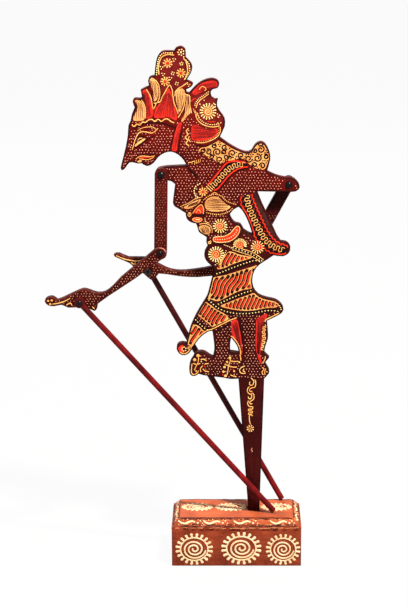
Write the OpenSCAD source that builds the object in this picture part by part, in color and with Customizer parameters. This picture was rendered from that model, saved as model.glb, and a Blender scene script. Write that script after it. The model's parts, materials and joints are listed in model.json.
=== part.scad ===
// Painted wooden wayang puppet on a display plinth: a flat carved figure on a stake, two jointed
// arms and two hand rods. Millimetres, +Z up, the figure faces -X and its painted front faces -Y.
// The origin is the middle of the plinth's bottom face.

/* [Plinth] */
// Width of the plinth, left to right
plinth_w = 104; // [96:1:130]
// Depth of the plinth, front to back
plinth_d = 56; // [54:1:80]
// Height of the plinth
plinth_h = 38.5; // [36:0.5:60]
// Height of the sloped band round the top
bevel_h = 5.5; // [3:0.5:9]
// Width of the sloped band round the top
bevel_w = 5; // [3:0.5:7]
// Width of the small step below the sloped band
ledge_w = 1.2; // [0.6:0.1:2]

/* [Figure] */
// Thickness of the figure's board
board_t = 8; // [6:0.5:12]
// Distance of the stake from the middle of the plinth
stake_x = 14; // [8:0.5:20]
// Width of the stake where it enters the plinth
stake_w = 9; // [7:0.5:12]
// Width of the stake below the feet
stake_top_w = 20.5; // [16:0.5:22]
// Length of the stake inside the plinth
tenon_len = 24; // [12:1:28]

/* [Arms] */
// Thickness of the arm pieces
arm_t = 6; // [5:0.5:8]
// Width of the upper arms
arm_w = 10; // [9:0.5:12]
// Near upper arm, shoulder pivot to elbow pivot
near_upper_len = 60.5; // [50:0.5:70]
// Lean of the near upper arm from the vertical, in degrees
near_upper_lean = 1; // [-5:1:10]
// Far upper arm, shoulder pivot to elbow pivot
far_upper_len = 78.5; // [70:0.5:85]
// Lean of the far upper arm from the vertical, in degrees
far_upper_lean = 28.5; // [20:0.5:35]

/* [Rods] */
// Diameter of the hand rods
rod_d = 4.6; // [3.6:0.2:5.6]
// Diameter of the flat eye at the top of a rod
eye_d = 8; // [7:0.5:10]
// Where the near rod's foot stands, left to right
near_foot_x = 29; // [20:0.5:36]
// Where the near rod's foot stands, forward of the middle
near_foot_out = 9.3; // [8:0.1:18]
// Where the far rod's foot stands, left to right
far_foot_x = 36.3; // [28:0.1:40]

/* [Fasteners] */
// Thread diameter of the shoulder screws
shoulder_screw_d = 3; // [2.5:0.5:4]
// Head diameter of the shoulder screws
shoulder_head_d = 5.6; // [5:0.1:8]
// Head height of the shoulder screws
shoulder_head_h = 2; // [1.4:0.1:2.4]
// Width across flats of the shoulder nuts
shoulder_nut_af = 5.5; // [5:0.1:7]
// Height of the shoulder nuts
shoulder_nut_h = 2.4; // [2:0.1:3.2]
// Outer diameter of the washers under the shoulder nuts
washer_d = 7; // [6.5:0.1:9]
// Thickness of the washers under the shoulder nuts
washer_t = 0.5; // [0.4:0.1:1]
// Thread diameter of the elbow and hand screws
pivot_screw_d = 2.5; // [2:0.1:3]
// Head diameter of the elbow and hand screws
pivot_head_d = 4.6; // [4:0.1:6]
// Head height of the elbow and hand screws
pivot_head_h = 1.7; // [1.2:0.1:2]
// Width across flats of the elbow and hand nuts
pivot_nut_af = 5; // [4.5:0.1:5.5]
// Height of the elbow and hand nuts
pivot_nut_h = 2; // [1.6:0.1:2.4]
// Outer diameter of the fibre spacers between the moving faces
spacer_d = 6.4; // [6:0.1:9]

/* [Clearances] */
// Gap between neighbouring wooden layers
layer_gap = 0.5; // [0.4:0.1:1]
// Gap between the near hand and its rod, which leans back as it goes down
near_rod_gap = 1.3; // [1:0.1:2]
// Gap on each side of a fibre spacer
spacer_gap = 0.05; // [0.02:0.01:0.1]
// Radial clearance of a screw in its hole
pin_clearance = 0.05; // [0.02:0.01:0.1]
// Gap under a screw head
head_gap = 0.1; // [0.05:0.05:0.2]
// Clearance round the stake inside the plinth
mortise_clearance = 0.25; // [0.1:0.05:0.4]
// Gap between a rod's foot and the plinth's top
foot_gap = 0.3; // [0.1:0.1:0.5]

/* [Hidden] */
$fn = 48;

// The near arm is in front of the board, towards -Y, and the far arm is behind it
near = -1;
far = 1;
// Steps that a smooth stretch of an outline is cut into between two of its points
outline_steps = 2;
// Cuts run this far past the faces they open
cut_past = 1;
// Cross recess in the screw heads
recess_w = 0.6;
recess_share = 0.4;
// Length of thread left beyond a nut
thread_past_nut = 0.6;
// Depth left under the tenon, and round a sunk nut
tenon_floor = 1;
nut_pocket_clearance = 0.2;

// Layers, as distances out from the middle of the board
board_face = board_t / 2;
upper_from = board_face + layer_gap;
upper_to = upper_from + arm_t;
fore_from = upper_to + layer_gap;
fore_to = fore_from + arm_t;
function rod_gap(side) = side == near ? near_rod_gap : layer_gap;
function rod_from(side) = fore_to + rod_gap(side);
function rod_mid(side) = rod_from(side) + rod_d / 2;
function rod_to(side) = rod_from(side) + rod_d;
pivot_bore_d = pivot_screw_d + 2 * pin_clearance;
shoulder_bore_d = shoulder_screw_d + 2 * pin_clearance;
elbow_end_r = arm_w / 2 + 0.2;
shoulder_end_r = arm_w / 2 - 0.4;

// A point of an outline is [x, z] on a smooth stretch, or [x, z, 1] at a corner
front_foot = [
    [-5, 148.7], [-10, 149.8], [-19, 150.8], [-26, 151.8], [-30, 153, 1], [-32, 151.6],
    [-35, 151.2], [-37, 153.2], [-37.5, 158], [-36.5, 163], [-34.3, 166.5, 1], [-32.5, 170],
    [-29, 171.4], [-25, 170.8], [-21, 168], [-18.6, 167, 1], [-17.6, 172], [-17.8, 179], [-19, 188.3, 1]
];
// The stake's upper corners are this far above the foot's first point
sole_rise = 0.3;
sole = front_foot[0][1] + sole_rise;

// In the drawing the plinth's top and the feet are at these heights. The real stake is as long as
// the drawn one and stands on the real top, and the whole figure goes up with its sole
drawn_top = 38.5;
drawn_feet = 149;
stake_len = drawn_feet - drawn_top;
figure_lift = plinth_h + stake_len - sole;
stake_top_x = 11.75;
lift = [0, figure_lift];

// Pivots, as [x, z]
near_shoulder = [-58, 314.5] + lift;
far_shoulder = [40.5, 305.5] + lift;
near_elbow = near_shoulder - near_upper_len * [sin(near_upper_lean), cos(near_upper_lean)];
far_elbow = far_shoulder - far_upper_len * [sin(far_upper_lean), cos(far_upper_lean)];
near_hand = near_elbow + [-62.8, -38.2];
far_hand = far_elbow + [-73, -3.5];

stake_left = [
    [stake_x - stake_w / 2, sole - stake_len - tenon_len, 1],
    [stake_x - stake_w / 2, sole - stake_len, 1],
    [stake_top_x - stake_top_w / 2, sole, 1]
];
stake_right = [
    [stake_top_x + stake_top_w / 2, sole, 1],
    [stake_x + stake_w / 2, sole - stake_len, 1],
    [stake_x + stake_w / 2, sole - stake_len - tenon_len, 1]
];
skirt_front = [
    [-22, 187.8], [-26, 185.2], [-30, 181.3], [-33.5, 176], [-37, 170.5], [-41, 168.3], [-45, 169.4],
    [-47.4, 173.5], [-46.3, 177.3], [-43, 178.6], [-39.6, 178, 1], [-38, 184.5], [-36, 192],
    [-32, 201], [-26.5, 210.5], [-23, 216.5], [-21.2, 223], [-18.6, 233.3, 1]
];
belly = [
    [-17.8, 237], [-19.6, 241.3, 1], [-22.6, 243.8], [-25, 248], [-24.8, 252.5], [-22.2, 257, 1],
    [-23.6, 260], [-23.2, 263.8, 1], [-26, 265.8], [-29.2, 268], [-30.6, 272.5], [-31.5, 274.8, 1],
    [-35.5, 275.8], [-38.8, 278.8], [-39.5, 283, 1], [-44, 286], [-48, 288.4], [-49.3, 291.5],
    [-48.6, 298], [-47.5, 305.8, 1], [-50.5, 308.2]
];
neck_front = [
    [-54, 319.8], [-47, 320.2], [-38.5, 320.6, 1], [-41, 325], [-45, 329], [-50, 331.2], [-55, 330.5],
    [-60, 327.4], [-64, 322.4], [-69, 320], [-73.2, 322.3, 1], [-76, 322], [-79, 322.8, 1], [-82.6, 322.8]
];
nose_and_brow = [
    [-85.5, 319], [-88.3, 316.7], [-89.4, 319], [-87.6, 326], [-85.3, 335], [-83.6, 344],
    [-83, 351.5], [-81.2, 355, 1]
];
crown_front = [
    [-80.3, 360], [-78, 365.5, 1], [-79.5, 370], [-78, 372.7], [-74.5, 372.4], [-72.2, 373.2, 1],
    [-73.2, 379, 1], [-70, 380.8], [-66.6, 382.2, 1], [-67.5, 386], [-66, 389.3], [-62.6, 390, 1]
];
topknot = [
    [-62, 396], [-60.6, 403.5], [-57, 408.3], [-52, 408.9], [-47.6, 408.7, 1], [-46, 411.2],
    [-42.5, 412.3], [-39, 410], [-38.7, 403.8, 1], [-35, 399.8], [-33.7, 396], [-35, 391.5],
    [-38.2, 386.6, 1], [-35, 385.3], [-33.2, 383.6], [-35.2, 381], [-38.4, 379.4], [-38, 377],
    [-36, 377, 1]
];
crown_back = [
    [-31, 382.4], [-26, 386], [-20, 387.8], [-15.5, 387], [-13.2, 384], [-14.6, 380.5], [-18, 379.6],
    [-19.9, 377], [-18.6, 371.7, 1], [-14.2, 372.2, 1], [-15, 366.5], [-12.2, 361.5], [-9.2, 357],
    [-9, 351], [-13, 342.4, 1]
];
hair_and_far_shoulder = [
    [-6, 337.3], [1, 333.2], [7, 331], [11.5, 332.2], [14, 336.4], [18, 339], [22.2, 337.2],
    [25.4, 331], [26, 325], [23.6, 316, 1], [30, 313], [37, 311.2], [43, 310.9], [47, 307.8],
    [49, 303.5], [46, 300.2], [40, 299.8], [16, 300.2, 1]
];
sash_and_hip = [
    [19.8, 290.5], [26, 277], [31.5, 265], [34.6, 260.5, 1], [39, 259.8], [42, 256], [40.6, 251],
    [36, 248.6], [29, 249.4, 1], [24, 246], [18, 242], [14, 237], [12.4, 230], [13.4, 222.6],
    [17.5, 217.4], [24, 214.9], [30.5, 213.4], [35, 210], [37, 205.5], [34, 201.7], [24, 196.5, 1]
];
back_leg = [
    [24.8, 188], [24.8, 182], [22.6, 175], [22, 170.4, 1], [25.9, 166.4, 1], [22.4, 162, 1],
    [25.8, 156.2], [25.6, 153.2]
];
// Open places in the board: between the waist and the sash, and between the legs
sash_gap = [
    [1.5, 288, 1], [-2.5, 285.6], [-5.4, 281.8, 1], [-3.6, 278], [-1, 275.2], [3, 274.2], [5.4, 270, 1],
    [9, 267.5], [12.3, 266.3, 1], [10.4, 272.6], [7.6, 279.6], [4.4, 285.2]
];
leg_gap = [[-4.2, 182.6, 1], [-5, 178], [-5, 171.4, 1], [1.8, 170.3, 1], [0.9, 175], [-1.2, 178.8]];

board_outline = concat(
    stake_left, front_foot, skirt_front, belly, shoulder_end(near_shoulder - lift, 250, 110),
    neck_front, nose_and_brow, crown_front, topknot, crown_back, hair_and_far_shoulder,
    sash_and_hip, back_leg, stake_right
);

// Forearms, drawn from their elbow pivots, from the upper side round to the lower side
near_forearm_edge = [
    [-10.8, -2.6], [-20.8, -10.8], [-30.8, -19.3], [-37, -26], [-42.8, -30.5], [-49, -31.4],
    [-55, -29.4], [-60, -28.2], [-66.8, -31], [-76.8, -35.8], [-80.3, -37, 1], [-84, -34.5],
    [-88.3, -35.2], [-90.4, -38.4], [-87.5, -41.7], [-82.8, -42.3], [-77, -41.2], [-72.3, -43.4],
    [-65, -43.2], [-57.8, -43.5], [-51.8, -46.1], [-49.6, -44], [-49.2, -40.5, 1], [-40.8, -34.3],
    [-30.8, -27.6], [-18.8, -19.5], [-6.8, -10.5]
];
far_forearm_edge = [
    [-13, 3], [-28, -0.6], [-43, -2.7], [-51, -2.6], [-58, -0.8], [-66, 3.4], [-75, 7.8], [-88, 7.9],
    [-95.5, 11.1], [-100, 9.9], [-97, 7.4], [-87.5, 3.1], [-82, -2.2], [-76.5, -5.4], [-71.2, -10.2],
    [-67.6, -9], [-64.5, -5.3, 1], [-58, -5.9], [-46, -7.7], [-33, -8.2], [-13, -6.1]
];

function at(loop, i) = loop[(i + len(loop)) % len(loop)];
function flat(p) = [p[0], p[1]];
function is_corner(p) = len(p) == 3;
function arc(middle, radius, from, to, count) = [
    for (i = [0:count - 1])
        let (a = from + (to - from) * i / (count - 1))
        middle + radius * [cos(a), sin(a)]
];
function shoulder_end(pivot, from, to) = arc(pivot, shoulder_end_r, from, to, 5);
function tangent(loop, i) =
    is_corner(at(loop, i)) ? [0, 0] :
    let (
        before = flat(at(loop, i - 1)),
        here = flat(at(loop, i)),
        after = flat(at(loop, i + 1)),
        way = after - before
    )
    way / norm(way) * min(norm(here - before), norm(after - here));
function hermite(a, ta, b, tb, t) =
    (2 * t ^ 3 - 3 * t ^ 2 + 1) * a + (t ^ 3 - 2 * t ^ 2 + t) * ta
    + (3 * t ^ 2 - 2 * t ^ 3) * b + (t ^ 3 - t ^ 2) * tb;
function smooth(loop) = [
    for (i = [0:len(loop) - 1])
        let (
            a = at(loop, i),
            b = at(loop, i + 1),
            steps = is_corner(a) && is_corner(b) ? 1 : outline_steps
        )
        for (k = [0:steps - 1])
            hermite(flat(a), tangent(loop, i), flat(b), tangent(loop, i + 1), k / steps)
];

// Puts a shape drawn in x and z into a layer that starts at a distance out from the board's middle
module plate(side, from, thick) {
    translate([0, side == near ? -from : from + thick, 0])
        rotate([90, 0, 0])
            linear_extrude(thick)
                children();
}

// Turns a shape's +Z to point out from the board at a pivot
module at_pivot(side, pivot, out = 0) {
    translate([pivot[0], side * out, pivot[1]])
        rotate([side == near ? 90 : -90, 0, 0])
            children();
}

module bore(side, pivot, from, to, d) {
    at_pivot(side, pivot, from - cut_past)
        cylinder(d = d, h = to - from + 2 * cut_past);
}

// A domed screw whose head sits at head_at and whose thread runs in to tip_at
module domed_screw(side, pivot, head_at, tip_at, d, head_d, head_h) {
    dome_r = (head_d ^ 2 / 4 + head_h ^ 2) / (2 * head_h);
    at_pivot(side, pivot, head_at)
        difference() {
            union() {
                intersection() {
                    cylinder(d = head_d, h = head_h);
                    translate([0, 0, head_h - dome_r])
                        sphere(r = dome_r);
                }
                translate([0, 0, tip_at - head_at])
                    cylinder(d = d, h = head_at - tip_at);
            }
            for (turn = [0, 90])
                rotate(turn)
                    translate([-head_d / 4, -recess_w / 2, head_h * (1 - recess_share)])
                        cube([head_d / 2, recess_w, head_h]);
        }
}

module hex_nut(side, pivot, from, height, across, d) {
    at_pivot(side, pivot, from)
        difference() {
            cylinder(d = across / cos(30), h = height, $fn = 6);
            translate([0, 0, -cut_past])
                cylinder(d = d + 2 * pin_clearance, h = height + 2 * cut_past);
        }
}

module ring(side, pivot, from, thick, outer_d, inner_d) {
    at_pivot(side, pivot, from)
        difference() {
            cylinder(d = outer_d, h = thick);
            translate([0, 0, -cut_past])
                cylinder(d = inner_d, h = thick + 2 * cut_past);
        }
}

module rim_profile(width) {
    half = width / 2;
    side_h = plinth_h - bevel_h;
    polygon([
        [-half, 0], [half, 0], [half, side_h], [half - ledge_w, side_h],
        [half - ledge_w - bevel_w, plinth_h], [ledge_w + bevel_w - half, plinth_h],
        [ledge_w - half, side_h], [-half, side_h]
    ]);
}

module upper_arm(side, shoulder, elbow) {
    lean = atan2(shoulder[0] - elbow[0], shoulder[1] - elbow[1]);
    length = norm(shoulder - elbow);
    pocket_d = pivot_nut_af / cos(30) + 2 * nut_pocket_clearance;
    difference() {
        plate(side, upper_from, arm_t)
            translate(elbow)
                rotate(-lean) {
                    circle(d = arm_w);
                    translate([0, length])
                        circle(d = arm_w);
                    translate([-arm_w / 2, 0])
                        square([arm_w, length]);
                }
        bore(side, shoulder, upper_from, upper_to, shoulder_bore_d);
        bore(side, elbow, upper_from, upper_to, pivot_bore_d);
        at_pivot(side, elbow, upper_from - cut_past)
            cylinder(d = pocket_d, h = pivot_nut_h + nut_pocket_clearance + cut_past);
    }
}

module forearm(side, elbow, hand, edge, arc_from, arc_to) {
    difference() {
        plate(side, fore_from, arm_t)
            translate(elbow)
                polygon(smooth(concat(edge, arc([0, 0], elbow_end_r, arc_from, arc_to, 6))));
        bore(side, elbow, fore_from, fore_to, pivot_bore_d);
        bore(side, hand, fore_from, fore_to, pivot_bore_d);
    }
}

// A straight rod from the hand pivot to its foot, cut square, with an eye at the hand. The eye's two
// faces are flat, also where the rod leans
module rod(side, hand, foot_x, foot_out) {
    top = [hand[0], side * rod_mid(side), hand[1]];
    way = [foot_x, side * foot_out, plinth_h + foot_gap + rod_d / 2] - top;
    dir = way / norm(way);
    low_corner = rod_d / 2 * sqrt(1 - dir[2] ^ 2);
    length = (top[2] - plinth_h - foot_gap - low_corner) / -dir[2];
    difference() {
        union() {
            at_pivot(side, hand, rod_from(side))
                cylinder(d = eye_d, h = rod_d);
            difference() {
                translate(top)
                    rotate([0, acos(dir[2]), atan2(dir[1], dir[0])])
                        cylinder(d = rod_d, h = length);
                for (face = [rod_from(side) - rod_d, rod_to(side)])
                    at_pivot(side, hand, face)
                        cylinder(d = eye_d, h = rod_d);
            }
        }
        bore(side, hand, rod_from(side), rod_to(side), pivot_bore_d);
    }
}

module shoulder_screw(side, pivot, head_at, tip_at) {
    domed_screw(side, pivot, head_at, tip_at, shoulder_screw_d, shoulder_head_d, shoulder_head_h);
}

module pivot_screw(side, pivot, head_at, tip_at) {
    domed_screw(side, pivot, head_at, tip_at, pivot_screw_d, pivot_head_d, pivot_head_h);
}

module shoulder_nut(side, pivot, from) {
    hex_nut(side, pivot, from, shoulder_nut_h, shoulder_nut_af, shoulder_screw_d);
}

module pivot_nut(side, pivot, from) {
    hex_nut(side, pivot, from, pivot_nut_h, pivot_nut_af, pivot_screw_d);
}

module washer(side, pivot, from) {
    ring(side, pivot, from, washer_t, washer_d, shoulder_bore_d);
}

module spacer(side, pivot, from, d, gap = layer_gap) {
    ring(side, pivot, from + spacer_gap, gap - 2 * spacer_gap, spacer_d, d);
}

// The block, with the slot that holds the stake
module plinth() {
    color("sienna")
        difference() {
            intersection() {
                translate([0, plinth_d / 2, 0])
                    rotate([90, 0, 0])
                        linear_extrude(plinth_d)
                            rim_profile(plinth_w);
                translate([-plinth_w / 2, 0, 0])
                    rotate([90, 0, 90])
                        linear_extrude(plinth_w)
                            rim_profile(plinth_d);
            }
            translate([
                stake_x - stake_w / 2 - mortise_clearance,
                -board_face - mortise_clearance,
                plinth_h - tenon_len - tenon_floor
            ])
                cube([
                    stake_w + 2 * mortise_clearance,
                    board_t + 2 * mortise_clearance,
                    tenon_len + tenon_floor + cut_past
                ]);
        }
}

// Head, body, skirt, legs and stake are one flat board
module figure_board() {
    color("darkred")
        difference() {
            translate([0, 0, figure_lift])
                plate(near, -board_face, board_t)
                    difference() {
                        polygon(smooth(board_outline));
                        polygon(smooth(sash_gap));
                        polygon(smooth(leg_gap));
                    }
            bore(near, near_shoulder, -board_face, board_face, shoulder_bore_d);
            bore(near, far_shoulder, -board_face, board_face, shoulder_bore_d);
        }
}

module near_upper_arm() { color("maroon") upper_arm(near, near_shoulder, near_elbow); }
module far_upper_arm() { color("maroon") upper_arm(far, far_shoulder, far_elbow); }
module near_forearm() { color("maroon") forearm(near, near_elbow, near_hand, near_forearm_edge, -80, 120); }
module far_forearm() { color("maroon") forearm(far, far_elbow, far_hand, far_forearm_edge, -100, 100); }
module near_rod() { color("firebrick") rod(near, near_hand, near_foot_x, near_foot_out); }
module far_rod() { color("firebrick") rod(far, far_hand, far_foot_x, rod_mid(far)); }

// Near shoulder: head on the arm, nut and washer behind the board
module near_shoulder_screw() {
    tip = board_face + washer_t + shoulder_nut_h + thread_past_nut;
    color("dimgray") shoulder_screw(near, near_shoulder, upper_to + head_gap, -tip);
}
module near_shoulder_spacer() { color("saddlebrown") spacer(near, near_shoulder, board_face, shoulder_bore_d); }
module near_shoulder_washer() { color("silver") washer(far, near_shoulder, board_face); }
module near_shoulder_nut() { color("silver") shoulder_nut(far, near_shoulder, board_face + washer_t); }

// Far shoulder: head on the board's front, nut and washer behind the arm
module far_shoulder_screw() {
    tip = upper_to + head_gap + washer_t + shoulder_nut_h + thread_past_nut;
    color("dimgray") shoulder_screw(near, far_shoulder, board_face, -tip);
}
module far_shoulder_spacer() { color("saddlebrown") spacer(far, far_shoulder, board_face, shoulder_bore_d); }
module far_shoulder_washer() { color("silver") washer(far, far_shoulder, upper_to + head_gap); }
module far_shoulder_nut() { color("silver") shoulder_nut(far, far_shoulder, upper_to + head_gap + washer_t); }

// Elbows: head on the forearm, nut sunk in the upper arm
module elbow_screw(side, elbow) { color("dimgray") pivot_screw(side, elbow, fore_to + head_gap, upper_from); }
module elbow_nut(side, elbow) { color("silver") pivot_nut(side, elbow, upper_from + nut_pocket_clearance / 2); }
module near_elbow_screw() { elbow_screw(near, near_elbow); }
module near_elbow_spacer() { color("saddlebrown") spacer(near, near_elbow, upper_to, pivot_bore_d); }
module near_elbow_nut() { elbow_nut(near, near_elbow); }
module far_elbow_screw() { elbow_screw(far, far_elbow); }
module far_elbow_spacer() { color("saddlebrown") spacer(far, far_elbow, upper_to, pivot_bore_d); }
module far_elbow_nut() { elbow_nut(far, far_elbow); }

// Hands: head on the rod's eye, nut on the inner face of the hand
module hand_screw(side, hand) {
    tip = fore_from - pivot_nut_h - thread_past_nut;
    color("dimgray") pivot_screw(side, hand, rod_to(side) + head_gap, tip);
}
module hand_nut(side, hand) { color("silver") pivot_nut(side, hand, fore_from - pivot_nut_h); }
module near_hand_screw() { hand_screw(near, near_hand); }
module hand_spacer(side, hand) { color("saddlebrown") spacer(side, hand, fore_to, pivot_bore_d, rod_gap(side)); }
module near_hand_spacer() { hand_spacer(near, near_hand); }
module near_hand_nut() { hand_nut(near, near_hand); }
module far_hand_screw() { hand_screw(far, far_hand); }
module far_hand_spacer() { hand_spacer(far, far_hand); }
module far_hand_nut() { hand_nut(far, far_hand); }

plinth();
figure_board();
near_upper_arm();
near_forearm();
near_rod();
far_upper_arm();
far_forearm();
far_rod();
near_shoulder_screw();
near_shoulder_spacer();
near_shoulder_washer();
near_shoulder_nut();
far_shoulder_screw();
far_shoulder_spacer();
far_shoulder_washer();
far_shoulder_nut();
near_elbow_screw();
near_elbow_spacer();
near_elbow_nut();
far_elbow_screw();
far_elbow_spacer();
far_elbow_nut();
near_hand_screw();
near_hand_spacer();
near_hand_nut();
far_hand_screw();
far_hand_spacer();
far_hand_nut();
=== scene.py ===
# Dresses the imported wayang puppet: rounded and stained wood, painted batik ornament on both faces of
# the figure, dotted arms, a plinth with painted rosettes, and finishes for the rods and screws.
# Ornament is drawn in millimetres on flat faces and becomes thin raised paint.
import json
import math
import random

import bmesh
import bpy
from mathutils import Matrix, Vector
from mathutils.geometry import intersect_point_line, tessellate_polygon
from mathutils.kdtree import KDTree

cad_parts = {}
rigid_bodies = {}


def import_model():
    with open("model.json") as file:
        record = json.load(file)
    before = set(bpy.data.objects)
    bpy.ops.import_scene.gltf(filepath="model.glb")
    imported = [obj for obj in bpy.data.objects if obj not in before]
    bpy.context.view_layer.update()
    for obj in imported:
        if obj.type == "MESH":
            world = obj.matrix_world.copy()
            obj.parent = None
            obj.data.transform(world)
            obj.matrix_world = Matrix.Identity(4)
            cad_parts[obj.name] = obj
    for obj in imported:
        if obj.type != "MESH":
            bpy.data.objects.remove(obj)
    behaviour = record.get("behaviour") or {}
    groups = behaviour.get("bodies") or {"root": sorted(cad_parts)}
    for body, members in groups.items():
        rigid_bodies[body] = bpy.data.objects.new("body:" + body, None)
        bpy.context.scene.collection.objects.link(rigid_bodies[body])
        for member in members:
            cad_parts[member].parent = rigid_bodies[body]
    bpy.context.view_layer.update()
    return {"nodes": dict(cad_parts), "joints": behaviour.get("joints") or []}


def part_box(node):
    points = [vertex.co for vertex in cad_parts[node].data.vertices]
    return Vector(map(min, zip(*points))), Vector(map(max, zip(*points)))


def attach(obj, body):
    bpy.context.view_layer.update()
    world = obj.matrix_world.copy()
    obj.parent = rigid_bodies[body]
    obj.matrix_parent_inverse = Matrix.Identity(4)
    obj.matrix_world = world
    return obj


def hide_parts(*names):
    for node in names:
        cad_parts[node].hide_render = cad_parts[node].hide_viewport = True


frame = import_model()
nodes = frame["nodes"]
scene = bpy.context.scene
MM = 0.001
random.seed(41)


# Camera

CAMERA_AT = (0, -1.467, 0.585)
CAMERA_PITCH = 14.42
CAMERA_LENS = 113.1
CAMERA_SENSOR = 36
CAMERA_SHIFT = -0.0531


def set_camera():
    data = bpy.data.cameras.new("photo_camera")
    data.lens = CAMERA_LENS
    data.sensor_width = CAMERA_SENSOR
    data.shift_x = CAMERA_SHIFT
    camera = bpy.data.objects.new("photo_camera", data)
    camera.location = CAMERA_AT
    camera.rotation_euler = (math.radians(90 - CAMERA_PITCH), 0, 0)
    scene.collection.objects.link(camera)
    scene.camera = camera
    scene.view_settings.view_transform = "Standard"


# Colours and shader trees

def tone(code):
    """An sRGB colour such as 'b0522f' as the linear colour that shaders take."""
    def linear(c):
        return c / 12.92 if c <= 0.04045 else ((c + 0.055) / 1.055) ** 2.4
    return tuple(linear(int(code[i:i + 2], 16) / 255) for i in (0, 2, 4)) + (1,)


class Wire:
    """A socket of a shader tree. Arithmetic on it adds Math nodes."""

    def __init__(self, tree, socket):
        self.tree = tree
        self.socket = socket

    def math(self, operation, a, b):
        return self.tree.add("ShaderNodeMath", {"operation": operation}, {0: a, 1: b})

    def __add__(self, other):
        return self.math("ADD", self, other)

    def __radd__(self, other):
        return self.math("ADD", other, self)

    def __mul__(self, other):
        return self.math("MULTIPLY", self, other)

    def __rmul__(self, other):
        return self.math("MULTIPLY", other, self)


class Tree:
    """A node tree and the one way that nodes are added to it."""

    def __init__(self, tree):
        self.tree = tree

    def add(self, kind, settings=None, sockets=None, out=0):
        node = self.tree.nodes.new(kind)
        for key, value in (settings or {}).items():
            if key == "stops":
                ramp = node.color_ramp.elements
                while len(ramp) < len(value):
                    ramp.new(0.5)
                for stop, (place, colour) in zip(ramp, value):
                    stop.position = place
                    stop.color = colour
            else:
                setattr(node, key, value)
        for key, value in (sockets or {}).items():
            self.feed(node.inputs[key], value)
        return Wire(self, node.outputs[out])

    def feed(self, socket, value):
        if isinstance(value, Wire):
            self.tree.links.new(value.socket, socket)
        else:
            socket.default_value = value

    def mix(self, factor, a, b):
        return self.add("ShaderNodeMix", {"data_type": "RGBA"}, {0: factor, 6: a, 7: b}, out=2)

    def ramp(self, value, low, high):
        """0 below low, 1 above high."""
        stops = [(low, (0, 0, 0, 1)), (high, (1, 1, 1, 1))]
        return self.add("ShaderNodeValToRGB", {"stops": stops}, {0: value})

    def place(self, scale=None):
        here = self.add("ShaderNodeTexCoord", out="Object")
        return self.add("ShaderNodeMapping", None, {0: here, 3: scale}) if scale else here

    def noise(self, place, scale, detail=4, rough=0.55):
        sockets = {"Vector": place, "Scale": scale, "Detail": detail, "Roughness": rough}
        return self.add("ShaderNodeTexNoise", None, sockets)

    def bump(self, height, strength, distance):
        sockets = {"Height": height, "Strength": strength, "Distance": distance}
        return self.add("ShaderNodeBump", None, sockets)


class Finish(Tree):
    """A material with one Principled shader."""

    def __init__(self, name, constants=None):
        self.material = bpy.data.materials.new(name)
        self.material.use_nodes = True
        super().__init__(self.material.node_tree)
        self.shader = self.tree.nodes["Principled BSDF"]
        for key, value in (constants or {}).items():
            self.feed(self.shader.inputs[key], value)

    def surface(self, colour, roughness, normal):
        self.feed(self.shader.inputs["Base Color"], colour)
        self.feed(self.shader.inputs["Roughness"], roughness)
        self.feed(self.shader.inputs["Normal"], normal)


# Stage and light

def white_for_camera(tree, lit, share):
    """Mixes a lit shader with plain white for what the camera and reflections see."""
    path = tree.add("ShaderNodeLightPath")
    rays = path.socket.node.outputs
    seen = Wire(tree, rays["Is Camera Ray"]) + Wire(tree, rays["Is Glossy Ray"])
    seen = seen + Wire(tree, rays["Is Transmission Ray"])
    white = tree.add("ShaderNodeEmission", None, {"Color": (1, 1, 1, 1), "Strength": 1})
    return tree.add("ShaderNodeMixShader", None, {0: seen * share, 1: lit, 2: white})


FLOOR_HALF = 100
FLOOR_Z = -0.0004
FLOOR_GREY = (0.55, 0.55, 0.55, 1)
FLOOR_WHITE = 0.95
SKY_COLOUR = (1, 0.985, 0.97, 1)
SKY_STRENGTH = 0.22
# Name, place, aim, size, power and colour
LAMPS = (
    ("key_lamp", (0.62, -0.8, 1.9), (0, 0, 0.1), 0.16, 80, (1, 0.97, 0.93)),
    ("fill_lamp", (0.3, -1.9, 0.75), (0, 0, 0.2), 1.2, 6, (1, 1, 1)),
    ("back_lamp", (-0.6, 1.7, 1.2), (0, 0, 0.2), 0.8, 16, (1, 1, 1)),
)


def set_stage():
    signs = ((-1, -1), (1, -1), (1, 1), (-1, 1))
    corners = [(FLOOR_HALF * x, FLOOR_HALF * y, FLOOR_Z) for x, y in signs]
    mesh = bpy.data.meshes.new("floor")
    mesh.from_pydata(corners, [], [(0, 1, 2, 3)])
    floor = bpy.data.objects.new("floor", mesh)
    scene.collection.objects.link(floor)
    pale = Finish("pale_floor")
    lit = pale.add("ShaderNodeBsdfDiffuse", None, {"Color": FLOOR_GREY})
    out = pale.tree.nodes["Material Output"]
    pale.feed(out.inputs["Surface"], white_for_camera(pale, lit, FLOOR_WHITE))
    floor.data.materials.append(pale.material)

    world = bpy.data.worlds.new("studio")
    scene.world = world
    world.use_nodes = True
    sky = Tree(world.node_tree)
    lit = sky.add("ShaderNodeBackground", None, {"Color": SKY_COLOUR, "Strength": SKY_STRENGTH})
    out = world.node_tree.nodes["World Output"]
    sky.feed(out.inputs["Surface"], white_for_camera(sky, lit, 1))


def add_lamp(name, at, aim, size, power, colour):
    data = bpy.data.lights.new(name, "AREA")
    data.size = size
    data.energy = power
    data.color = colour
    lamp = bpy.data.objects.new(name, data)
    lamp.location = at
    lamp.rotation_euler = (Vector(aim) - Vector(at)).to_track_quat("-Z", "Y").to_euler()
    scene.collection.objects.link(lamp)


set_camera()
set_stage()
for lamp in LAMPS:
    add_lamp(*lamp)


# Finishes

PAINT_SHEEN = 0.07
PAINT_ROUGH = 0.42
METAL_SCUFF = (2600, 2600, 700)


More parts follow.
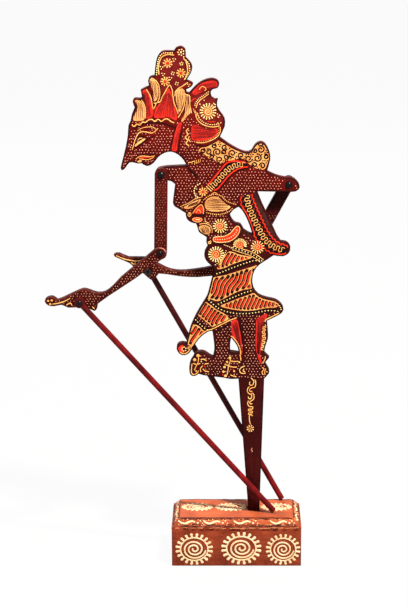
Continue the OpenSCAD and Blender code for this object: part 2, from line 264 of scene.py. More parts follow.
def stained_wood(name, base, deep, worn, grain_scale, rough, wear, sheen, higher=None):
    """Painted or stained wood: cloudy tone, fine grain along the piece and rubbed places.
    With higher = (base, deep, from_z, to_z), the tone turns to another one further up."""
    f = Finish(name, {"Specular IOR Level": sheen})
    here = f.place()
    base, deep = tone(base), tone(deep)
    if higher:
        high_base, high_deep, low_z, high_z = higher
        height = f.add("ShaderNodeSeparateXYZ", None, {0: here}, out="Z")
        sockets = {"Value": height, "From Min": low_z, "From Max": high_z}
        share = f.add("ShaderNodeMapRange", None, sockets)
        base = f.mix(share, base, tone(high_base))
        deep = f.mix(share, deep, tone(high_deep))
    cloud = f.noise(here, 70, 5)
    grain = f.noise(f.place(grain_scale), 1, 6, 0.65)
    rubbed = f.ramp(f.noise(here, 210, 6, 0.7), 0.56, 0.8)
    body = f.mix(f.ramp(cloud, 0.3, 0.72), deep, base)
    body = f.mix(f.ramp(grain, 0.42, 0.66) * 0.75, body, deep)
    colour = f.mix(rubbed * wear, body, tone(worn))
    roughness = rough + 0.22 * grain + 0.12 * cloud
    relief = grain * 0.7 + rubbed * 0.5
    f.surface(colour, roughness, f.bump(relief, 0.3, 0.0004))
    return f.material


def brush_paint(colour_name, base, shade):
    """Paint laid on by brush: uneven tone, small misses and a slightly ridged surface."""
    f = Finish(colour_name + "_paint", {"Specular IOR Level": PAINT_SHEEN})
    here = f.place()
    cloud = f.noise(here, 160, 4)
    fleck = f.ramp(f.noise(here, 900, 3, 0.6), 0.57, 0.72)
    colour = f.mix(f.ramp(cloud, 0.35, 0.68), tone(shade), tone(base))
    colour = f.mix(fleck * 0.5, colour, tone(shade))
    f.surface(colour, PAINT_ROUGH + 0.2 * cloud, f.bump(fleck + cloud, 0.25, 0.0002))
    return f.material


def metal(name, base, shade, metallic, rough, sheen):
    """Screw and nut metal: a cloudy tone with fine scuffs."""
    f = Finish(name, {"Metallic": metallic, "Specular IOR Level": sheen})
    scuff = f.noise(f.place(METAL_SCUFF), 1, 4)
    colour = f.mix(f.ramp(f.noise(f.place(), 500, 4), 0.35, 0.7), tone(base), tone(shade))
    f.surface(colour, rough + 0.2 * scuff, f.bump(scuff, 0.12, 0.0001))
    return f.material


UPRIGHT_GRAIN = (900, 900, 45)
LEVEL_GRAIN = (35, 620, 620)
EVEN_GRAIN = (400, 400, 400)
# Grain, roughness, wear and sheen
SATIN_FACE = (UPRIGHT_GRAIN, 0.34, 0.2, 0.02)
SATIN_ROD = (UPRIGHT_GRAIN, 0.3, 0.2, 0.06)
# Tones further up a piece: base, deep, and the heights in metres between which they come in
RED_UPPER_BODY = ("7a1510", "500d0b", 0.255, 0.36)
# Painted shade: the far upper arm turns dark near its shoulder, where the board would shade it
SHOULDER_PAINTED_SHADE = ("2a0b09", "160605", 0.274, 0.288)
# Painted shade: the near rod darkens towards its top, by the hand
ROD_TOP_PAINTED_SHADE = ("541614", "280909", 0.19, 0.224)
# Painted shadow: the far rod turns dark from just above its foot, where the figure would shade it
FAR_ROD_PAINTED_SHADOW = ("501212", "2a0909", 0.082, 0.1)
# Painted light: the plinth turns paler up its slope and on its top, as if lit from above
PLINTH_TOP_PAINTED_LIGHT = ("cc663c", "9e4629", 0.033, 0.0375)
figure_wood = stained_wood("figure_wood", "48120f", "300a0a", "64241b", *SATIN_FACE, RED_UPPER_BODY)
figure_edge = stained_wood("figure_edge", "32100c", "180505", "6a3428", UPRIGHT_GRAIN, 0.45, 0.4, 0.03)
arm_wood = stained_wood("arm_wood", "661b14", "3e0f0b", "7a3829", *SATIN_FACE)
forearm_wood = stained_wood("forearm_wood", "50150f", "2e0b08", "64291e", *SATIN_FACE)
# The far upper arm: a darker copy of the arms' wood, with painted shade near its shoulder
far_upper_painted_shade_wood = stained_wood("far_upper_painted_shade_wood", "5a1812", "360d0a", "6c3024", *SATIN_FACE, SHOULDER_PAINTED_SHADE)
ARM_FACES = {
    "near_upper_arm": arm_wood, "near_forearm": forearm_wood,
    "far_upper_arm": far_upper_painted_shade_wood, "far_forearm": forearm_wood,
}
# The arms' rounded edges are pale: wear, and painted highlight where light catches them
arm_edge = stained_wood("arm_edge", "6e261c", "34100c", "b47e6c", UPRIGHT_GRAIN, 0.45, 0.6, 0.06)
rod_wood = stained_wood("rod_wood", "8e181a", "4a080b", "a83430", *SATIN_ROD, ROD_TOP_PAINTED_SHADE)
# The far rod: the rod wood with duller rubbed places and the figure's shadow painted on
far_rod_painted_shadow_wood = stained_wood("far_rod_painted_shadow_wood", "8e181a", "4a080b", "7c2826", *SATIN_ROD, FAR_ROD_PAINTED_SHADOW)
plinth_wood = stained_wood(
    "plinth_wood", "a04427", "6c2716", "bd6440", LEVEL_GRAIN, 0.42, 0.35, 0.06, PLINTH_TOP_PAINTED_LIGHT,
)
plinth_edge = stained_wood("plinth_edge", "984226", "4a1a10", "e8a07a", LEVEL_GRAIN, 0.45, 0.8, 0.12)
fibre = stained_wood("pressed_fibre", "5a3420", "3a2012", "7a5034", EVEN_GRAIN, 0.7, 0.4, 0.12)
black_steel = metal("black_steel", "050506", "0e0e11", 0.0, 0.1, 0.14)
zinc_steel = metal("dark_zinc", "3c3836", "1e1c1b", 0.7, 0.35, 0.5)
# Brush paints: base and shade
PAINTS = {name: brush_paint(name, *tones) for name, tones in {
    "black": ("240808", "120303"),
    "maroon": ("58120f", "3c0b0a"),
    "wine": ("7a1a17", "5a100f"),
    "red": ("f03a20", "d02416"),
    "crimson": ("dc2e22", "b81f17"),
    "tan": ("f4b46e", "d48c4a"),
    "brown": ("4c241f", "301210"),
    "amber": ("f6b268", "e28c48"),
    "gold": ("ffca78", "f0a04e"),
    "cream": ("ffe49e", "f8c874"),
    "skin": ("f2ac8e", "de8a6a"),
    "rose": ("c0806a", "9c5c4a"),
    "ivory": ("f2dcb4", "e2c08e"),
    "clay": ("e09468", "c4703f"),
}.items()}


# Wooden pieces

FIGURE_ROUND = 1.0
ARM_ROUND = 0.9
PLINTH_ROUND = 0.5
PLINTH_PAINT = 0.36
# Edges shorter than this stay sharp
SHORTEST_ROUND = 0.7
SHORTEST_PLINTH_ROUND = 12
SHARP_TURN = math.radians(25)
SMOOTH_TURN = math.radians(38)


def carve(node, body, finishes, round_r, shortest, sides_only, paint_room=0):
    """A copy of a CAD piece with its outer edges rounded. Finishes are the faces' and the round's.
    With paint room, the upright sides stand in by the thickness of their paint."""
    bm = bmesh.new()
    bm.from_mesh(nodes[node].data)
    bmesh.ops.remove_doubles(bm, verts=bm.verts, dist=1e-6)
    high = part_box(node)[1]
    for vert in bm.verts:
        for axis in (0, 1):
            if paint_room and high[axis] - abs(vert.co[axis]) < 1e-5:
                vert.co[axis] -= math.copysign(paint_room * MM, vert.co[axis])
    bmesh.ops.dissolve_limit(bm, angle_limit=0.01, verts=bm.verts, edges=bm.edges)
    for face in bm.faces:
        face.material_index = 0
    sharp = []
    for edge in bm.edges:
        if len(edge.link_faces) != 2 or edge.calc_length() < shortest * MM or not edge.is_convex:
            continue
        flat = [abs(f.normal.y) > 0.99 for f in edge.link_faces]
        if edge.calc_face_angle() > SHARP_TURN and (not sides_only or any(flat)):
            sharp.append(edge)
    bmesh.ops.bevel(
        bm, geom=sharp, offset=round_r * MM, segments=3, profile=0.5, affect="EDGES",
        clamp_overlap=False, material=1,
    )
    mesh = bpy.data.meshes.new(node + "_carved")
    bm.to_mesh(mesh)
    bm.free()
    for finish in finishes:
        mesh.materials.append(finish)
    for polygon in mesh.polygons:
        polygon.use_smooth = True
    mesh.set_sharp_from_angle(angle=SMOOTH_TURN)
    piece = bpy.data.objects.new(node + "_carved", mesh)
    scene.collection.objects.link(piece)
    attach(piece, body)
    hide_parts(node)


carve(
    "figure_board", "puppet", (figure_wood, figure_edge),
    FIGURE_ROUND, SHORTEST_ROUND, True,
)
carve(
    "plinth", "stand", (plinth_wood, plinth_edge),
    PLINTH_ROUND, SHORTEST_PLINTH_ROUND, False, PLINTH_PAINT,
)
for name, face in ARM_FACES.items():
    carve(name, name, (face, arm_edge), ARM_ROUND, SHORTEST_ROUND, True)


# Painting

class Face:
    """A flat face to paint on: drawing x and y run along across and up, heights along out."""

    def __init__(self, origin, across, up, out=None):
        self.origin = Vector(origin)
        self.across = Vector(across).normalized()
        self.up = Vector(up).normalized()
        self.out = Vector(out) if out else self.across.cross(self.up)

    def point(self, x, y, height):
        return (self.origin + self.across * x + self.up * y + self.out * height) * MM


class Pot:
    """All the paint of one colour on one body, gathered into one mesh."""

    def __init__(self):
        self.points = []
        self.faces = []

    def rings(self, face, rings, closed=False):
        """Skins a row of equal rings of (x, y, height) and caps its ends."""
        base = len(self.points)
        count = len(rings[0])
        for ring in rings:
            self.points += [face.point(*p) for p in ring]
        spans = len(rings) if closed else len(rings) - 1
        for i in range(spans):
            a = base + i * count
            b = base + (i + 1) % len(rings) * count
            for k in range(count):
                n = (k + 1) % count
                self.faces.append((a + k, a + n, b + n, b + k))
        if not closed:
            self.faces.append(tuple(range(base, base + count)))
            self.faces.append(tuple(range(base + (len(rings) - 1) * count, len(self.points))))

    def slab(self, face, outline, low, high):
        base = len(self.points)
        count = len(outline)
        for height in (low, high):
            self.points += [face.point(x, y, height) for x, y in outline]
        for k in range(count):
            n = (k + 1) % count
            self.faces.append((base + k, base + n, base + count + n, base + count + k))
        for a, b, c in tessellate_polygon([[Vector((x, y, 0)) for x, y in outline]]):
            self.faces.append((base + a, base + b, base + c))
            self.faces.append((base + count + c, base + count + b, base + count + a))

    def make(self, name, body, slot, finish):
        mesh = bpy.data.meshes.new(name)
        mesh.from_pydata(self.points, [], self.faces)
        bm = bmesh.new()
        bm.from_mesh(mesh)
        bmesh.ops.recalc_face_normals(bm, faces=bm.faces)
        bm.to_mesh(mesh)
        bm.free()
        mesh.materials.append(finish)
        piece = bpy.data.objects.new(name, mesh)
        scene.collection.objects.link(piece)
        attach(piece, body)


def spread(a, b, share):
    """A value between two others."""
    return a + (b - a) * share


def left_of(way):
    """The direction a quarter turn to the left."""
    return Vector((-way.y, way.x))


def around(at, radius, turn, flat=1.0):
    """A point on a circle, or on an oval that is flattened in y."""
    return Vector((at[0] + radius * math.cos(turn), at[1] + flat * radius * math.sin(turn)))


def curve(points, closed=False, step=0.8):
    """A smooth path through points, cut into steps of about the given length."""
    knots = [Vector(p) for p in points]
    count = len(knots)
    path = []
    for i in range(count if closed else count - 1):
        if closed:
            p0, p1, p2, p3 = (knots[(i + k) % count] for k in (-1, 0, 1, 2))
        else:
            p0, p1, p2, p3 = (knots[min(max(i + k, 0), count - 1)] for k in (-1, 0, 1, 2))
        steps = max(1, round((p2 - p1).length / step))
        for s in range(steps):
            t = s / steps
            path.append(0.5 * (
                2 * p1 + (p2 - p0) * t + (2 * p0 - 5 * p1 + 4 * p2 - p3) * t * t
                + (3 * p1 - p0 - 3 * p2 + p3) * t ** 3
            ))
    if not closed:
        path.append(knots[-1])
    return path


def walk(path, spacing):
    """Points at equal distances along a path, with the direction there."""
    found = []
    left = 0.0
    for a, b in zip(path, path[1:]):
        length = (b - a).length
        while left <= length and length > 1e-9:
            found.append((a + (b - a) * (left / length), (b - a) / length))
            left += spacing
        left -= length
    return found


def beside(path, distance):
    """A path at a distance to the left of another."""
    out = []
    for i, p in enumerate(path):
        way = (path[min(i + 1, len(path) - 1)] - path[max(i - 1, 0)]).normalized()
        out.append(p + left_of(way) * distance)
    return out


def inside(p, polygon):
    """Whether a point lies in a polygon."""
    hit = False
    for a, b in zip(polygon, polygon[1:] + polygon[:1]):
        if (a[1] > p[1]) != (b[1] > p[1]):
            if p[0] < (b[0] - a[0]) * (p[1] - a[1]) / (b[1] - a[1]) + a[0]:
                hit = not hit
    return hit


# How far paint stands out of the wood: fields, then strokes and dots, which lie on fields
AREA_LIFT = {
    "wine": 0.04, "red": 0.08, "gold": 0.08, "amber": 0.08, "brown": 0.08,
    "crimson": 0.1, "tan": 0.11, "black": 0.13,
}
LINE_LIFT = {
    "clay": 0.18, "maroon": 0.19, "wine": 0.19, "black": 0.2, "brown": 0.2, "skin": 0.2,
    "red": 0.22, "gold": 0.26, "cream": 0.3, "ivory": 0.3,
}
STIPPLE_LIFT = 0.13
HEART_LIFT = 0.4
DOT_EXTRA = 0.04
SINK = 0.15
# Points nearer to each other than this are dropped
NEAREST = 0.05
# Steps along a piece's outline and along a comb's sides, and tries to move a point onto the face
EDGE_STEP = 0.3
COMB_SIDE_STEP = 0.4
HOLD_TRIES = 3
# The share of its width that a stroke keeps at its top, and how finely the forms are cut
STROKE_TOP = 0.6
DOT_SIDES = 8
SNAKE_STEPS = 22
SPIRAL_STEPS = 24
COMB_STEPS = 6
BLOSSOM_PETALS = 9
# Stippling: unevenness and rise of a row against the pitch, unevenness of size, gap to other paint
STRAY = 0.14
ROW_RISE = 0.866
SIZE_STRAY = 0.15
STIPPLE_GAP = 0.35


class Canvas:
    """One or two flat faces that take the same drawing, kept inside the piece's own outline."""

    def __init__(self, pots, faces, node=None, margin=0):
        self.pots = pots
        self.faces = faces
        self.margin = margin
        self.edge = None
        self.areas = []
        self.inked = []
        if node:
            self.find_edge(node)

    def find_edge(self, node):
        """Samples the outline of the first flat face, with the way into the wood."""
        depth = self.faces[0].origin.y
        data = nodes[node].data
        data.calc_loop_triangles()
        seen = {}
        for tri in data.loop_triangles:
            corners = [data.vertices[i].co / MM for i in tri.vertices]
            if all(abs(c.y - depth) < 0.01 for c in corners):
                flat = [Vector((c.x, c.z)) for c in corners]
                for k in range(3):
                    a, b, c = flat[k], flat[(k + 1) % 3], flat[(k + 2) % 3]
                    key = frozenset((tuple(round(v, 2) for v in a), tuple(round(v, 2) for v in b)))
                    seen.setdefault(key, []).append((a, b, c))
        samples = []
        turns = {}
        for found in seen.values():
            if len(found) == 1:
                a, b, c = found[0]
                way = b - a
                if way.length < 1e-6:
                    continue
                inward = left_of(way).normalized()
                if inward.dot(c - a) < 0:
                    inward = -inward
                steps = max(2, math.ceil(way.length / EDGE_STEP))
                samples += [(a + way * (s / steps), inward) for s in range(1, steps)]
                for end in (a, b):
                    turns.setdefault(tuple(round(v, 2) for v in end), []).append(inward)
        samples += [(Vector(at), sum(ways, Vector((0, 0))).normalized()) for at, ways in turns.items()]
        self.edge = KDTree(len(samples))
        self.inward = [s[1] for s in samples]
        for i, (p, _) in enumerate(samples):
            self.edge.insert((p.x, p.y, 0), i)
        self.edge.balance()
        self.corners = [f(s[0][k] for s in samples) for k in (0, 1) for f in (min, max)]

    def depth_at(self, p):
        """How deep a point lies inside the outline, and the outline's nearest sample."""
        at, i, far = self.edge.find((p[0], p[1], 0))
        return math.copysign(far, (Vector(p) - Vector(at[:2])).dot(self.inward[i])), i

    def hold(self, p, room):
        """Moves a point that is off the flat face, or too near its edge, back onto it."""
        p = Vector(p[:2])
        if self.edge:
            for _ in range(HOLD_TRIES):
                depth, i = self.depth_at(p)
                if depth >= room:
                    break
                p = p + self.inward[i] * (room - depth + 0.01)
        return p

    def line(self, colour, path, width, closed=False, taper=False):
        """A raised stroke along a path. A tapered one narrows towards its ends."""
        path = [self.hold(p, self.margin + width / 2) for p in path]
        path = [p for i, p in enumerate(path) if i == 0 or (p - path[i - 1]).length > NEAREST]
        last = len(path) - 1
        if last < 1:
            return
        self.inked += [(p, width / 2) for p in path]
        lift = LINE_LIFT[colour]
        rings = []
        for i, p in enumerate(path):
            before = path[i - 1] if i or closed else p
            after = path[(i + 1) % (last + 1)] if i < last or closed else p
            way = (after - before).normalized()
            across = left_of(way)
            half = width / 2
            if taper:
                half *= 0.35 + 0.65 * math.sin(math.pi * (0.12 + 0.76 * i / last))
            ring = []
            for share, height in ((1, -SINK), (STROKE_TOP, lift), (-STROKE_TOP, lift), (-1, -SINK)):
                side = p + across * half * share
                ring.append((side.x, side.y, height))
            rings.append(ring)
        for face in self.faces:
            self.pots.setdefault(colour, Pot()).rings(face, rings, closed)

    def stroke(self, colour, points, width, closed=False, taper=False):
        """A line drawn smoothly through a few points."""
        self.line(colour, curve(points, closed), width, closed, taper)

    def area(self, colour, points, step=1.2, smooth=True):
        """A thin painted field."""
        outline = curve(points, True, step) if smooth else [Vector(p) for p in points]
        outline = [self.hold(p, self.margin) for p in outline]
        outline = [p for i, p in enumerate(outline) if (p - outline[i - 1]).length > NEAREST]
        self.areas.append(outline)
        for face in self.faces:
            self.pots.setdefault(colour, Pot()).slab(face, outline, -SINK, AREA_LIFT[colour])

    def dot(self, colour, at, radius, lift=None):
        """A round dot with a domed top."""
        at = self.hold(at, self.margin + radius * 0.6)
        self.inked.append((at, radius))
        high = lift or LINE_LIFT[colour] + DOT_EXTRA
        turns = [math.tau * (k + 0.5) / DOT_SIDES for k in range(DOT_SIDES)]
        rings = []
        for share, height in ((1, -SINK), (0.92, high * 0.45), (0.55, high)):
            ring = [around(at, radius * share, turn) for turn in turns]
            rings.append([(p.x, p.y, height) for p in ring])
        for face in self.faces:
            self.pots.setdefault(colour, Pot()).rings(face, rings)

    def beads(self, colour, path, spacing, radius):
        """A row of dots along a path."""
        for p, _ in walk(path, spacing):
            self.dot(colour, p, radius)

    def snake(self, colour, path, reach, pitch, width):
        """A meander with round ends that swings across a path."""
        found = []
        for i, (p, way) in enumerate(walk(path, pitch / SNAKE_STEPS)):
            turn = math.tau * i / SNAKE_STEPS
            swing = left_of(way) * reach * math.sin(turn)
            found.append(p + swing - way * pitch * 0.15 * math.sin(2 * turn))
        self.line(colour, found, width)

    def comb(self, colour, side_a, side_b, count, width, sway):
        """Tapered strokes from one side of a field to the other."""
        a = curve(side_a, step=COMB_SIDE_STEP)
        b = curve(side_b, step=COMB_SIDE_STEP)
        for k in range(count):
            t = (k + 0.5) / count
            p, q = a[int(t * (len(a) - 1))], b[int(t * (len(b) - 1))]
            across = left_of(q - p).normalized()
            path = []
            for s in range(COMB_STEPS + 1):
                u = s / COMB_STEPS
                path.append(p + (q - p) * u + across * sway * math.sin(math.tau * u))
            self.line(colour, path, width, taper=True)

    def spiral(self, colour, at, inner, outer, turns, width, start=0.0, flat=1.0):
        """A coil that opens from an inner to an outer radius."""
        steps = int(turns * SPIRAL_STEPS)
        path = []
        for s in range(steps + 1):
            turn = start + math.tau * turns * s / steps
            path.append(around(at, spread(inner, outer, s / steps), turn, flat))
        self.line(colour, path, width)

    def petals(self, colour, at, inner, outer, count, width, arc=(0, 360), flat=1.0, stem=0.7):
        """A ring of short round-ended strokes."""
        span = math.radians(arc[1] - arc[0])
        for k in range(count):
            turn = math.radians(arc[0]) + span * (k + 0.5) / count
            way = Vector((math.cos(turn), flat * math.sin(turn)))
            reaches = (inner, spread(inner, outer, 0.5), outer)
            self.line(colour, [Vector(at) + way * r for r in reaches], width * stem)
            self.dot(colour, Vector(at) + way * outer, width * 0.62)

    def sun(self, at, radius, count, arc=(0, 360), disc_colour="red", coil="gold"):
        """A painted sun: a disc with a coil and a ring of pale petals."""
        core = radius * 0.52
        self.area(disc_colour, [around(at, core, k * 0.35) for k in range(18)])
        self.spiral(coil, at, 0.2, core * 1.05, 1.9, radius * 0.12)
        self.petals("cream", at, radius * 0.58, radius * 0.93, count, radius * 0.165, arc, stem=0.95)

    def blossom(self, at, radius):
        """A small pale flower with a red heart."""
        self.petals("gold", at, radius * 0.35, radius * 0.85, BLOSSOM_PETALS, radius * 0.3, stem=0.9)
        self.dot("red", at, radius * 0.36, HEART_LIFT)

    def cluster(self, colour, at, reach, count, radius):
        """A ring of dots."""
        for k in range(count):
            self.dot(colour, around(at, reach, math.tau * k / count + 0.4), radius)

    def inked_tree(self):
        """The middles of all strokes and dots so far, after one that is far away."""
        tree = KDTree(len(self.inked) + 1)
        tree.insert((1e6, 1e6, 0), 0)
        for i, (p, _) in enumerate(self.inked):
            tree.insert((p[0], p[1], 0), i + 1)
        tree.balance()
        return tree

    def stipple(self, colour, pitch, radius, region=None, keep_off=()):
        """Rows of dots over the bare wood of a region."""
        tree = self.inked_tree()
        widths = [0] + [w for _, w in self.inked]
        boxes = []
        for a in self.areas:
            xs, ys = [p[0] for p in a], [p[1] for p in a]
            boxes.append((min(xs), max(xs), min(ys), max(ys), a))
        x0, x1, y0, y1 = self.corners
        row = 0
        y = y0
        spots = []
        while y < y1:
            x = x0 + (row % 2) * pitch / 2
            while x < x1:
                p = (x + random.uniform(-STRAY, STRAY) * pitch, y + random.uniform(-STRAY, STRAY) * pitch)
                x += pitch
                if region and not inside(p, region):
                    continue
                if self.depth_at(p)[0] < self.margin + radius:
                    continue
                _, i, far = tree.find((p[0], p[1], 0))
                if far < widths[i] + radius + STIPPLE_GAP:
                    continue
                if any(math.dist(p, c) < r for c, r in keep_off):
                    continue
                if any(b[0] < p[0] < b[1] and b[2] < p[1] < b[3] and inside(p, b[4]) for b in boxes):
                    continue
                spots.append(p)
            y += pitch * ROW_RISE
            row += 1
        for p in spots:
            size = radius * random.uniform(1 - SIZE_STRAY, 1 + SIZE_STRAY)
            self.dot(colour, p, size, STIPPLE_LIFT)


# The figure's ornament, as [x, z] in millimetres, on the front and again on the back

# How far paint stays from the board's edge, and how far the streaks of a field sway
BOARD_MARGIN = 1.1
STREAK_SWAY = 0.25


def both_faces(node, back_first=False):
    """The flat faces of an upright piece, the front one first unless the back one is asked for."""
    low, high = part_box(node)
    front = Face((0, low.y / MM, 0), (1, 0, 0), (0, 0, 1), (0, -1, 0))
    back = Face((0, high.y / MM, 0), (1, 0, 0), (0, 0, 1), (0, 1, 0))
    return [back, front] if back_first else [front, back]


def pivots_of(body):
    """Where a body turns on others, as [x, z] in millimetres."""
    hinges = [joint for joint in frame["joints"] if joint["type"] == "hinge"]
    places = [hinge["pos_m"] for hinge in hinges if body in (hinge["parent"], hinge["child"])]
    return [(x / MM, z / MM) for x, _, z in places]


board_pots = {}
board = Canvas(board_pots, both_faces("figure_board"), "figure_board", BOARD_MARGIN)


def streaked(colour, outline, side_a, side_b, count, width=0.85):
    """A field with darker streaks from one side to the other."""
    board.area(colour, outline)
    board.comb("wine" if colour == "crimson" else "maroon", side_a, side_b, count, width, STREAK_SWAY)


def paint_topknot():
    """A dark field with a gold and beaded edge, blossoms and clusters of dots."""
    board.area("wine", [
        (-58.6, 391), (-59, 396), (-57.8, 401.4), (-55.8, 404.2), (-52, 405.6), (-47, 404.6), (-43, 404),
        (-39.8, 403), (-38.6, 400), (-37.9, 396), (-38, 391), (-39.8, 386.6), (-44, 381.4), (-48, 380),
        (-51, 383.6), (-54, 380), (-57.6, 376), (-58, 383),
    ])
    left = curve([
        (-59.1, 391), (-59.5, 396), (-58.3, 401.7), (-56.2, 404.7), (-52, 406.2), (-47.6, 405.6),
    ])
    right = curve([
        (-39.4, 403.8), (-38.3, 400.5), (-37.5, 397), (-37.3, 393.6), (-38.3, 390), (-39.6, 387),
    ])
    for path in (left, right):
        board.line("gold", path, 1.0)
        board.line("black", beside(path, -0.9), 0.5)
    board.beads("cream", beside(left, 1.9), 1.7, 0.55)
    board.beads("cream", beside(right, 1.6), 1.8, 0.55)
    board.stroke("gold", [(-37, 385), (-41, 382.3), (-44.4, 380.2), (-46.5, 377.8), (-47.2, 374.4)], 0.9)
    board.cluster("gold", (-36.4, 382.9), 1.0, 3, 0.5)
    for at, radius in (((-52.4, 399.6), 3.7), ((-42.3, 392), 3.6), ((-54.5, 385.6), 3.6)):
        board.blossom(at, radius)
    for at, count in (
        ((-47.5, 402.3), 3), ((-41.9, 399.2), 5), ((-48.6, 391.8), 4), ((-56, 391.2), 3),
        ((-45.6, 384), 4), ((-57.2, 396.2), 3), ((-50.5, 388), 3),
    ):
        board.cluster("cream", at, 1.1, count, 0.5)
    board.cluster("cream", (-42.3, 407.8), 2.2, 7, 0.62)
    board.dot("cream", (-42.3, 407.8), 0.8)


def paint_crown_front():
    """Streaked leaves with gold edges, and the scalloped band below them."""
    streaked("tan", [
        (-67, 387), (-64.2, 388.5), (-61.2, 384.6), (-59.8, 380.4), (-59.7, 375.3), (-61, 371.7),
        (-63.2, 370.6), (-63.8, 377), (-65, 382),
    ], [(-66.6, 386.6), (-62, 385.4)], [(-63.4, 371.5), (-60, 373.5)], 4, 0.75)
    streaked("crimson", [
        (-72, 378.6), (-69.2, 379.7), (-67, 377.6), (-65.4, 373.6), (-64.6, 368.4), (-63.6, 363.6),
        (-64.6, 358.4), (-69.4, 357.4), (-69.4, 364), (-69.4, 369), (-70, 374),
    ], [(-71, 378), (-68, 377.6)], [(-68.4, 358.4), (-65, 359.4)], 4)
    streaked("tan", [
        (-77.6, 371), (-74, 371), (-71.2, 367.6), (-70.2, 363.3), (-70.5, 358.2), (-71.6, 355.8),
        (-78.6, 355.6), (-78.6, 359), (-76.6, 363), (-75.6, 366.5),
    ], [(-77, 370.2), (-72.2, 368.6)], [(-78.2, 357), (-71, 357)], 5, 0.75)
    streaked("crimson", [
        (-52, 380.6), (-54.5, 376.6), (-57, 371.6), (-59.6, 368), (-62.1, 364.6), (-62.9, 361),
        (-63, 358), (-57, 357.6), (-52.6, 358.4), (-49.5, 357), (-46.2, 355.8), (-45.6, 359.9),
        (-46.6, 364.2), (-48.2, 369.3), (-49.2, 374.4), (-50.5, 378.4),
    ], [(-54.4, 375.4), (-52, 377), (-50, 375)], [(-62.4, 359), (-54, 359), (-46.6, 357.4)], 11, 0.75)
    streaked("tan", [
        (-46, 378.4), (-43.6, 380.2), (-40.8, 380), (-39.8, 376.6), (-40, 371.9), (-41.5, 366.7),
        (-43, 362.8), (-44.2, 362.2), (-45.2, 366), (-46.3, 371.9),
    ], [(-45.8, 377.6), (-40.4, 378.6)], [(-44.8, 364), (-42, 365)], 4, 0.75)
    streaked("tan", [
        (-38.3, 376), (-36.9, 374.6), (-36.6, 368.4), (-35.2, 362), (-37.3, 359.8), (-41.6, 354.6),
        (-42, 356.4), (-39.4, 361.6), (-39.1, 368.4),
    ], [(-38.2, 375), (-37, 374)], [(-40.8, 357), (-36, 361)], 3, 0.65)
    for path in (
        [(-64.4, 388.4), (-60.8, 385.5), (-59, 381.2), (-58.7, 375.3), (-60.4, 369.6), (-63.3, 369)],
        [(-68.8, 379.6), (-66.3, 375.3), (-65, 371), (-64.2, 365.9), (-63.2, 364.4)],
        [(-73, 372), (-70.9, 368.4), (-69.7, 364.2), (-69.9, 357.4)],
        [
            (-51, 383.2), (-52.8, 380.8), (-54.9, 377), (-57, 373.4), (-58.3, 370.2), (-61.2, 368.9),
            (-63, 365),
        ],
        [(-50.8, 383), (-49.2, 379.5), (-48.6, 374.4), (-47.5, 368.4), (-45.8, 364.2), (-44.7, 360.8)],
        [(-39.8, 379), (-39.4, 372), (-40.4, 366), (-42.4, 361.6), (-44.6, 358)],
        [(-38.8, 377), (-35.9, 374.4), (-35.7, 368), (-34.4, 361.4)],
    ):
        board.stroke("gold", path, 0.85)
        board.line("black", beside(curve(path), 0.75), 0.45)
    band = curve([
        (-80.4, 352.4), (-78.5, 351), (-76.4, 352.9), (-74.3, 352), (-72.2, 354.4), (-69.8, 354.2),
        (-67.3, 356.1), (-64.6, 356.4), (-62.6, 354.9), (-60.2, 356.6), (-57.7, 355), (-55.2, 356.6),
        (-52.8, 356.8), (-50.3, 354.9), (-47.8, 353.8),
    ])
    board.line("gold", band, 1.0)
    board.stroke("black", [
        (-79, 349.4), (-73, 352.2), (-66, 354), (-58.7, 354), (-52.8, 352.4), (-47.6, 350.2),
    ], 1.1)


def paint_face():
    """Eye, brow, forehead and mouth."""
    board.area("gold", [
        (-78.4, 336.2), (-76.2, 338.4), (-73.4, 340.4), (-71, 341.8), (-70.4, 340.8), (-73.2, 338.6),
        (-75.8, 336.8), (-77.8, 335.4),
    ], 0.8)
    board.stroke("gold", [(-76.1, 340.2), (-74.2, 342), (-72.4, 341.8)], 0.8, taper=True)
    board.stroke("black", [
        (-77.6, 334.6), (-73.2, 337.4), (-69.4, 340.2), (-66.2, 342.2), (-63.2, 344),
    ], 1.1, taper=True)
    board.stroke("black", [(-79, 337.6), (-77.4, 340.8), (-75, 343.2), (-72.2, 343.5), (-70, 342.8)], 0.9)
    board.stroke("gold", [
        (-80.2, 333.1), (-78.6, 338.6), (-77, 342.9), (-75.2, 345.8), (-72.2, 347), (-68.8, 346.6),
        (-65.4, 345.9), (-62.9, 347), (-60.4, 349.6),
    ], 0.9)
    board.stroke("gold", [(-76, 347.6), (-72.6, 349.7), (-68.8, 350.5), (-64.6, 350.6), (-62, 349)], 0.6)
    board.stroke("red", [(-74.4, 326.9), (-70.6, 326.9), (-66.4, 327)], 1.1, taper=True)
    board.stroke("gold", [
        (-77.6, 325.6), (-75.1, 327.5), (-72.2, 328.2), (-68.8, 327.8), (-65.4, 327.6), (-62.9, 328.4),
    ], 0.75)
    board.stroke("gold", [
        (-75.1, 325.9), (-72.2, 325.6), (-68.8, 325.2), (-65.4, 326.2), (-63.7, 327.4),
    ], 0.65)
    board.stroke("black", [(-77, 327), (-72.4, 329.2), (-68, 328.8), (-63, 329.4)], 0.6)
    board.area("gold", [(-76.6, 323.6), (-74.6, 325), (-73.2, 324.2), (-74.2, 323.2)], 0.6)
    board.cluster("skin", (-82, 336), 1.2, 4, 0.55)


